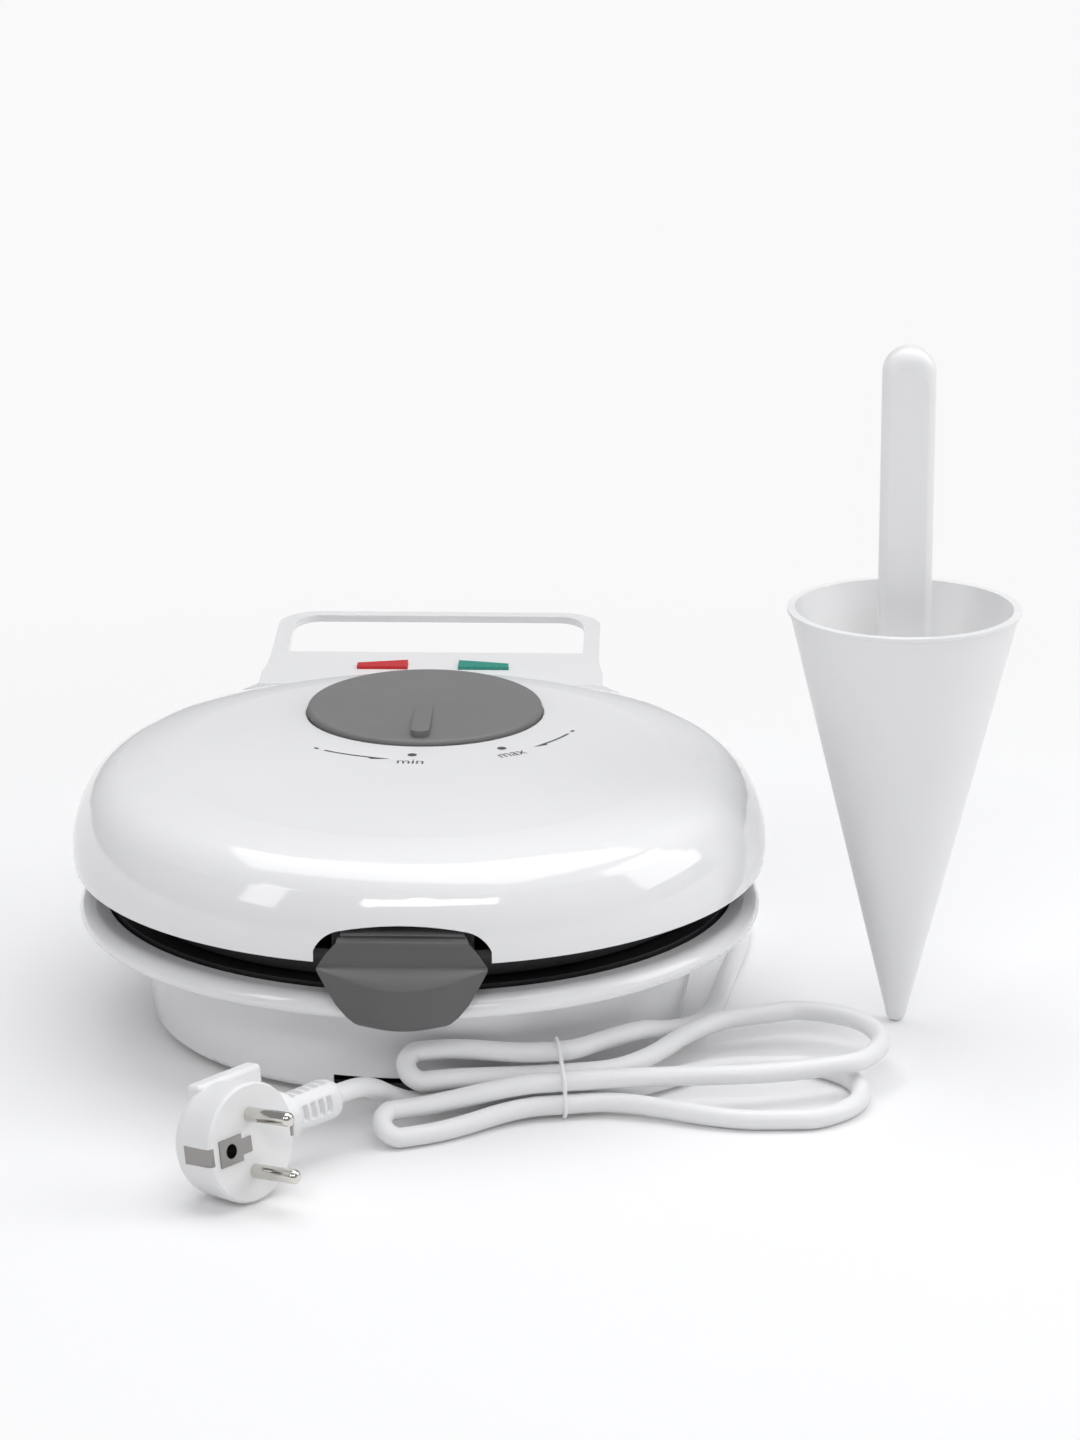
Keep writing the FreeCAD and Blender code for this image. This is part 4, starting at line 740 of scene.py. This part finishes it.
# latch: a grey paddle with a bowed finger ledge, on a hub round the latch pin
latch = {
    "columns": 32,
    # half width, side y, middle y, side z, middle z of each row, from the top edge round to the back
    "rows": [
        (0.0205, -0.1150, -0.1150, 0.0674, 0.0676),
        (0.0212, -0.1178, -0.1184, 0.0678, 0.0680),
        (0.0216, -0.1188, -0.1194, 0.0673, 0.0676),
        (0.0219, -0.1194, -0.1201, 0.0662, 0.0665),
        (0.0250, -0.1198, -0.1206, 0.0628, 0.0630),
        (0.0278, -0.1200, -0.1208, 0.0588, 0.0589),
        (0.0281, -0.1201, -0.1209, 0.0583, 0.0583),
        (0.0282, -0.1206, -0.1222, 0.0582, 0.0576),
        (0.0283, -0.1218, -0.1281, 0.0580, 0.0532),
        (0.0283, -0.1220, -0.1286, 0.0577, 0.0525),
        (0.0281, -0.1220, -0.1286, 0.0572, 0.0516),
        (0.0255, -0.1219, -0.1276, 0.0520, 0.0470),
        (0.0220, -0.1216, -0.1264, 0.0455, 0.0440),
        (0.0185, -0.1213, -0.1254, 0.0410, 0.0400),
        (0.0160, -0.1210, -0.1248, 0.0388, 0.0379),
        (0.0142, -0.1206, -0.1240, 0.0378, 0.0371),
        (0.0136, -0.1196, -0.1216, 0.0376, 0.0370),
        (0.0140, -0.1188, -0.1190, 0.0384, 0.0382),
        (0.0215, -0.1184, -0.1186, 0.0470, 0.0470),
        (0.0270, -0.1180, -0.1182, 0.0575, 0.0575),
        (0.0215, -0.1168, -0.1168, 0.0660, 0.0660),
    ],
    "hubPlace": (0.0, -0.113, 0.0663),
    "hubRadius": 0.0036,
    "hubHalf": 0.0205,
    "hubSteps": 24,
    "bow": 1.25,
    "sharpAngle": 38.0,
}


def shapeLatch(spec):
    columns = spec["columns"]
    corners = []
    for half, sideY, midY, sideZ, midZ in spec["rows"]:
        for i in range(columns + 1):
            u = 2 * i / columns - 1
            bow = (1 - u * u) ** spec["bow"]
            corners.append((half * u, sideY + (midY - sideY) * bow, sideZ + (midZ - sideZ) * bow))
    wide = columns + 1
    count = len(spec["rows"])
    faces = []
    for r in range(count):
        a = r * wide
        b = ((r + 1) % count) * wide
        for i in range(columns):
            faces.append((a + i, a + i + 1, b + i + 1, b + i))
    faces.append(tuple(r * wide for r in range(count)))
    faces.append(tuple(r * wide + columns for r in reversed(range(count))))
    base = len(corners)
    cx, cy, cz = spec["hubPlace"]
    around = spec["hubSteps"]
    for side in (-1, 1):
        for i in range(around):
            angle = 2 * math.pi * i / around
            y = cy + spec["hubRadius"] * math.cos(angle)
            z = cz + spec["hubRadius"] * math.sin(angle)
            corners.append((cx + side * spec["hubHalf"], y, z))
    for i in range(around):
        j = (i + 1) % around
        faces.append((base + i, base + j, base + around + j, base + around + i))
    faces.append(tuple(base + i for i in reversed(range(around))))
    faces.append(tuple(base + around + i for i in range(around)))
    mesh = bpy.data.meshes.new("latchPaddle")
    mesh.from_pydata(corners, [], faces)
    mesh.materials.append(latchFinish)
    mesh.shade_smooth()
    mesh.set_sharp_from_angle(angle=math.radians(spec["sharpAngle"]))
    piece = addPiece("latchPaddle", mesh)
    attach(piece, "latch")
    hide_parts("latch")


shapeLatch(latch)
print("latch shaped")


# raised panel down the front of the cone's handle
panel = {
    "half": 0.0066,
    "foot": 0.060,
    "top": 0.2365,
    "proud": 0.0005,
    "sunk": 0.0008,
    "bevel": 0.0003,
    "bevelSteps": 2,
    "rows": 28,
    "capSteps": 12,
    "castFrom": 0.05,
    "frontLimit": 0.0,
}


def addPanel(spec):
    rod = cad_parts["cone_handle"].data
    tree = BVHTree.FromPolygons([v.co for v in rod.vertices], [p.vertices for p in rod.polygons])
    low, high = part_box("cone_handle")

    def cast(place, way):
        return tree.ray_cast(Vector(place), Vector(way))[0]

    middleY = (low[1] + high[1]) / 2
    outline = []
    half = spec["half"]
    capFoot = spec["top"] - half
    for i in range(spec["rows"] + 1):
        outline.append((half, spec["foot"] + (capFoot - spec["foot"]) * i / spec["rows"]))
    for i in range(1, spec["capSteps"] + 1):
        angle = math.pi / 2 * i / spec["capSteps"]
        outline.append((half * math.cos(angle), capFoot + half * math.sin(angle)))
    off = spec["castFrom"]
    corners = []
    faces = []
    for x, z in outline:
        left = cast((low[0] - off, middleY, z), (1, 0, 0))
        right = cast((high[0] + off, middleY, z), (-1, 0, 0))
        middle = (left.x + right.x) / 2
        front = min(cast((middle, low[1] - off, z), (0, 1, 0)).y, spec["frontLimit"])
        for side in (-1, 1):
            for depth in (spec["sunk"], -spec["proud"]):
                corners.append((middle + side * x, front + depth, z))
    last = len(outline) - 1
    for i in range(last):
        a = 4 * i
        b = 4 * (i + 1)
        for m, n in ((1, 3), (0, 1), (3, 2), (2, 0)):
            faces.append((a + m, a + n, b + n, b + m))
    faces.append((0, 2, 3, 1))
    mesh = bpy.data.meshes.new("handlePanel")
    mesh.from_pydata(corners, [], faces)
    mesh.validate()
    mesh.materials.append(formFinish)
    piece = addPiece("handlePanel", mesh)
    softenEdges(piece, spec["bevel"], spec["bevelSteps"]).limit_method = "ANGLE"
    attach(piece, "cone_form")


addPanel(panel)
print("handle panel added")


# printed marks round the dial, dropped on the crown of the lid
marks = {
    "centre": (0.0, 0.044),
    "lift": 0.00006,
    "dotRadius": 0.00165,
    "dotSteps": 24,
    "dots": [(-2.2, 0.0525), (33.4, 0.0525)],  # angle from the front, radius
    # word, angle, radius, width, height
    "words": [("min", -2.2, 0.0597, 0.0092, 0.0042), ("max", 33.4, 0.0597, 0.0106, 0.0036)],
    "letterSteps": 4,
    # start angle, end angle with the point, radius
    "arrows": [(-35.0, -9.5, 0.0575), (64.0, 44.0, 0.0575)],
    "arrowWidth": 0.0009,
    "arrowSteps": 16,
    "headStart": 0.72,
    "barb": 0.0019,
    "tailDash": 4.6,  # degrees
    "dashLength": 1.8,  # degrees
    "dashWidth": 0.00117,
    "dropFrom": 0.3,
}


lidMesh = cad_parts["lid_cover"].data
lidTree = BVHTree.FromPolygons([v.co for v in lidMesh.vertices], [p.vertices for p in lidMesh.polygons])


def ringPoint(angle, radius):
    a = math.radians(angle)
    cx, cy = marks["centre"]
    return cx + radius * math.sin(a), cy - radius * math.cos(a)


def dropOnLid(x, y):
    hit = lidTree.ray_cast(Vector((x, y, marks["dropFrom"])), Vector((0, 0, -1)))[0]
    return Vector((x, y, hit.z + marks["lift"]))


def addPrint(name, corners, faces):
    mesh = bpy.data.meshes.new(name)
    mesh.from_pydata([dropOnLid(x, y) for x, y in corners], [], faces)
    mesh.materials.append(inkFinish)
    piece = addPiece(name, mesh)
    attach(piece, "lid")


def addDots(spec):
    steps = spec["dotSteps"]
    turns = [2 * math.pi * i / steps for i in range(steps)]
    for n, (angle, radius) in enumerate(spec["dots"]):
        x, y = ringPoint(angle, radius)
        rim = [(x + spec["dotRadius"] * math.cos(t), y + spec["dotRadius"] * math.sin(t)) for t in turns]
        addPrint("dialDot%d" % n, rim, [tuple(range(steps))])


def flatWord(word, steps):
    data = bpy.data.curves.new(word + "Word", "FONT")
    data.body = word
    data.align_x = "CENTER"
    data.align_y = "CENTER"
    data.resolution_u = steps
    text = addPiece(word + "Word", data)
    flat = bpy.data.meshes.new_from_object(text)
    bpy.data.objects.remove(text)
    return flat


def addWords(spec):
    for word, angle, radius, width, height in spec["words"]:
        flat = flatWord(word, spec["letterSteps"])
        xs = [v.co.x for v in flat.vertices]
        ys = [v.co.y for v in flat.vertices]
        midX = (min(xs) + max(xs)) / 2
        midY = (min(ys) + max(ys)) / 2
        ox, oy = ringPoint(angle, radius)
        c = math.cos(math.radians(angle))
        s = math.sin(math.radians(angle))
        corners = []
        for v in flat.vertices:
            u = (v.co.x - midX) * width / (max(xs) - min(xs))
            w = (v.co.y - midY) * height / (max(ys) - min(ys))
            corners.append((ox + u * c - w * s, oy + u * s + w * c))
        addPrint(word + "Print", corners, [tuple(f.vertices) for f in flat.polygons])


def addArrows(spec):
    half = spec["arrowWidth"] / 2
    steps = spec["arrowSteps"]
    for n, (begin, end, radius) in enumerate(spec["arrows"]):
        corners = []
        for i in range(steps + 1):
            share = i / steps
            angle = begin + (end - begin) * share
            inner = outer = half
            if share > spec["headStart"]:
                narrow = (1 - share) / (1 - spec["headStart"])
                inner = half * narrow
                outer = spec["barb"] * narrow
            corners += [ringPoint(angle, radius - inner), ringPoint(angle, radius + outer)]
        faces = [(k, k + 1, k + 3, k + 2) for k in range(0, 2 * steps, 2)]
        addPrint("dialArrow%d" % n, corners, faces)
        # short dash behind the arrow's tail
        way = -1 if end > begin else 1
        far = begin + way * spec["tailDash"]
        near = begin + way * (spec["tailDash"] - spec["dashLength"])
        low = radius - spec["dashWidth"] / 2
        high = radius + spec["dashWidth"] / 2
        dash = [ringPoint(far, low), ringPoint(far, high), ringPoint(near, high), ringPoint(near, low)]
        addPrint("dialDash%d" % n, dash, [(0, 1, 2, 3)])


addDots(marks)
addWords(marks)
addArrows(marks)
print("dial marks printed")
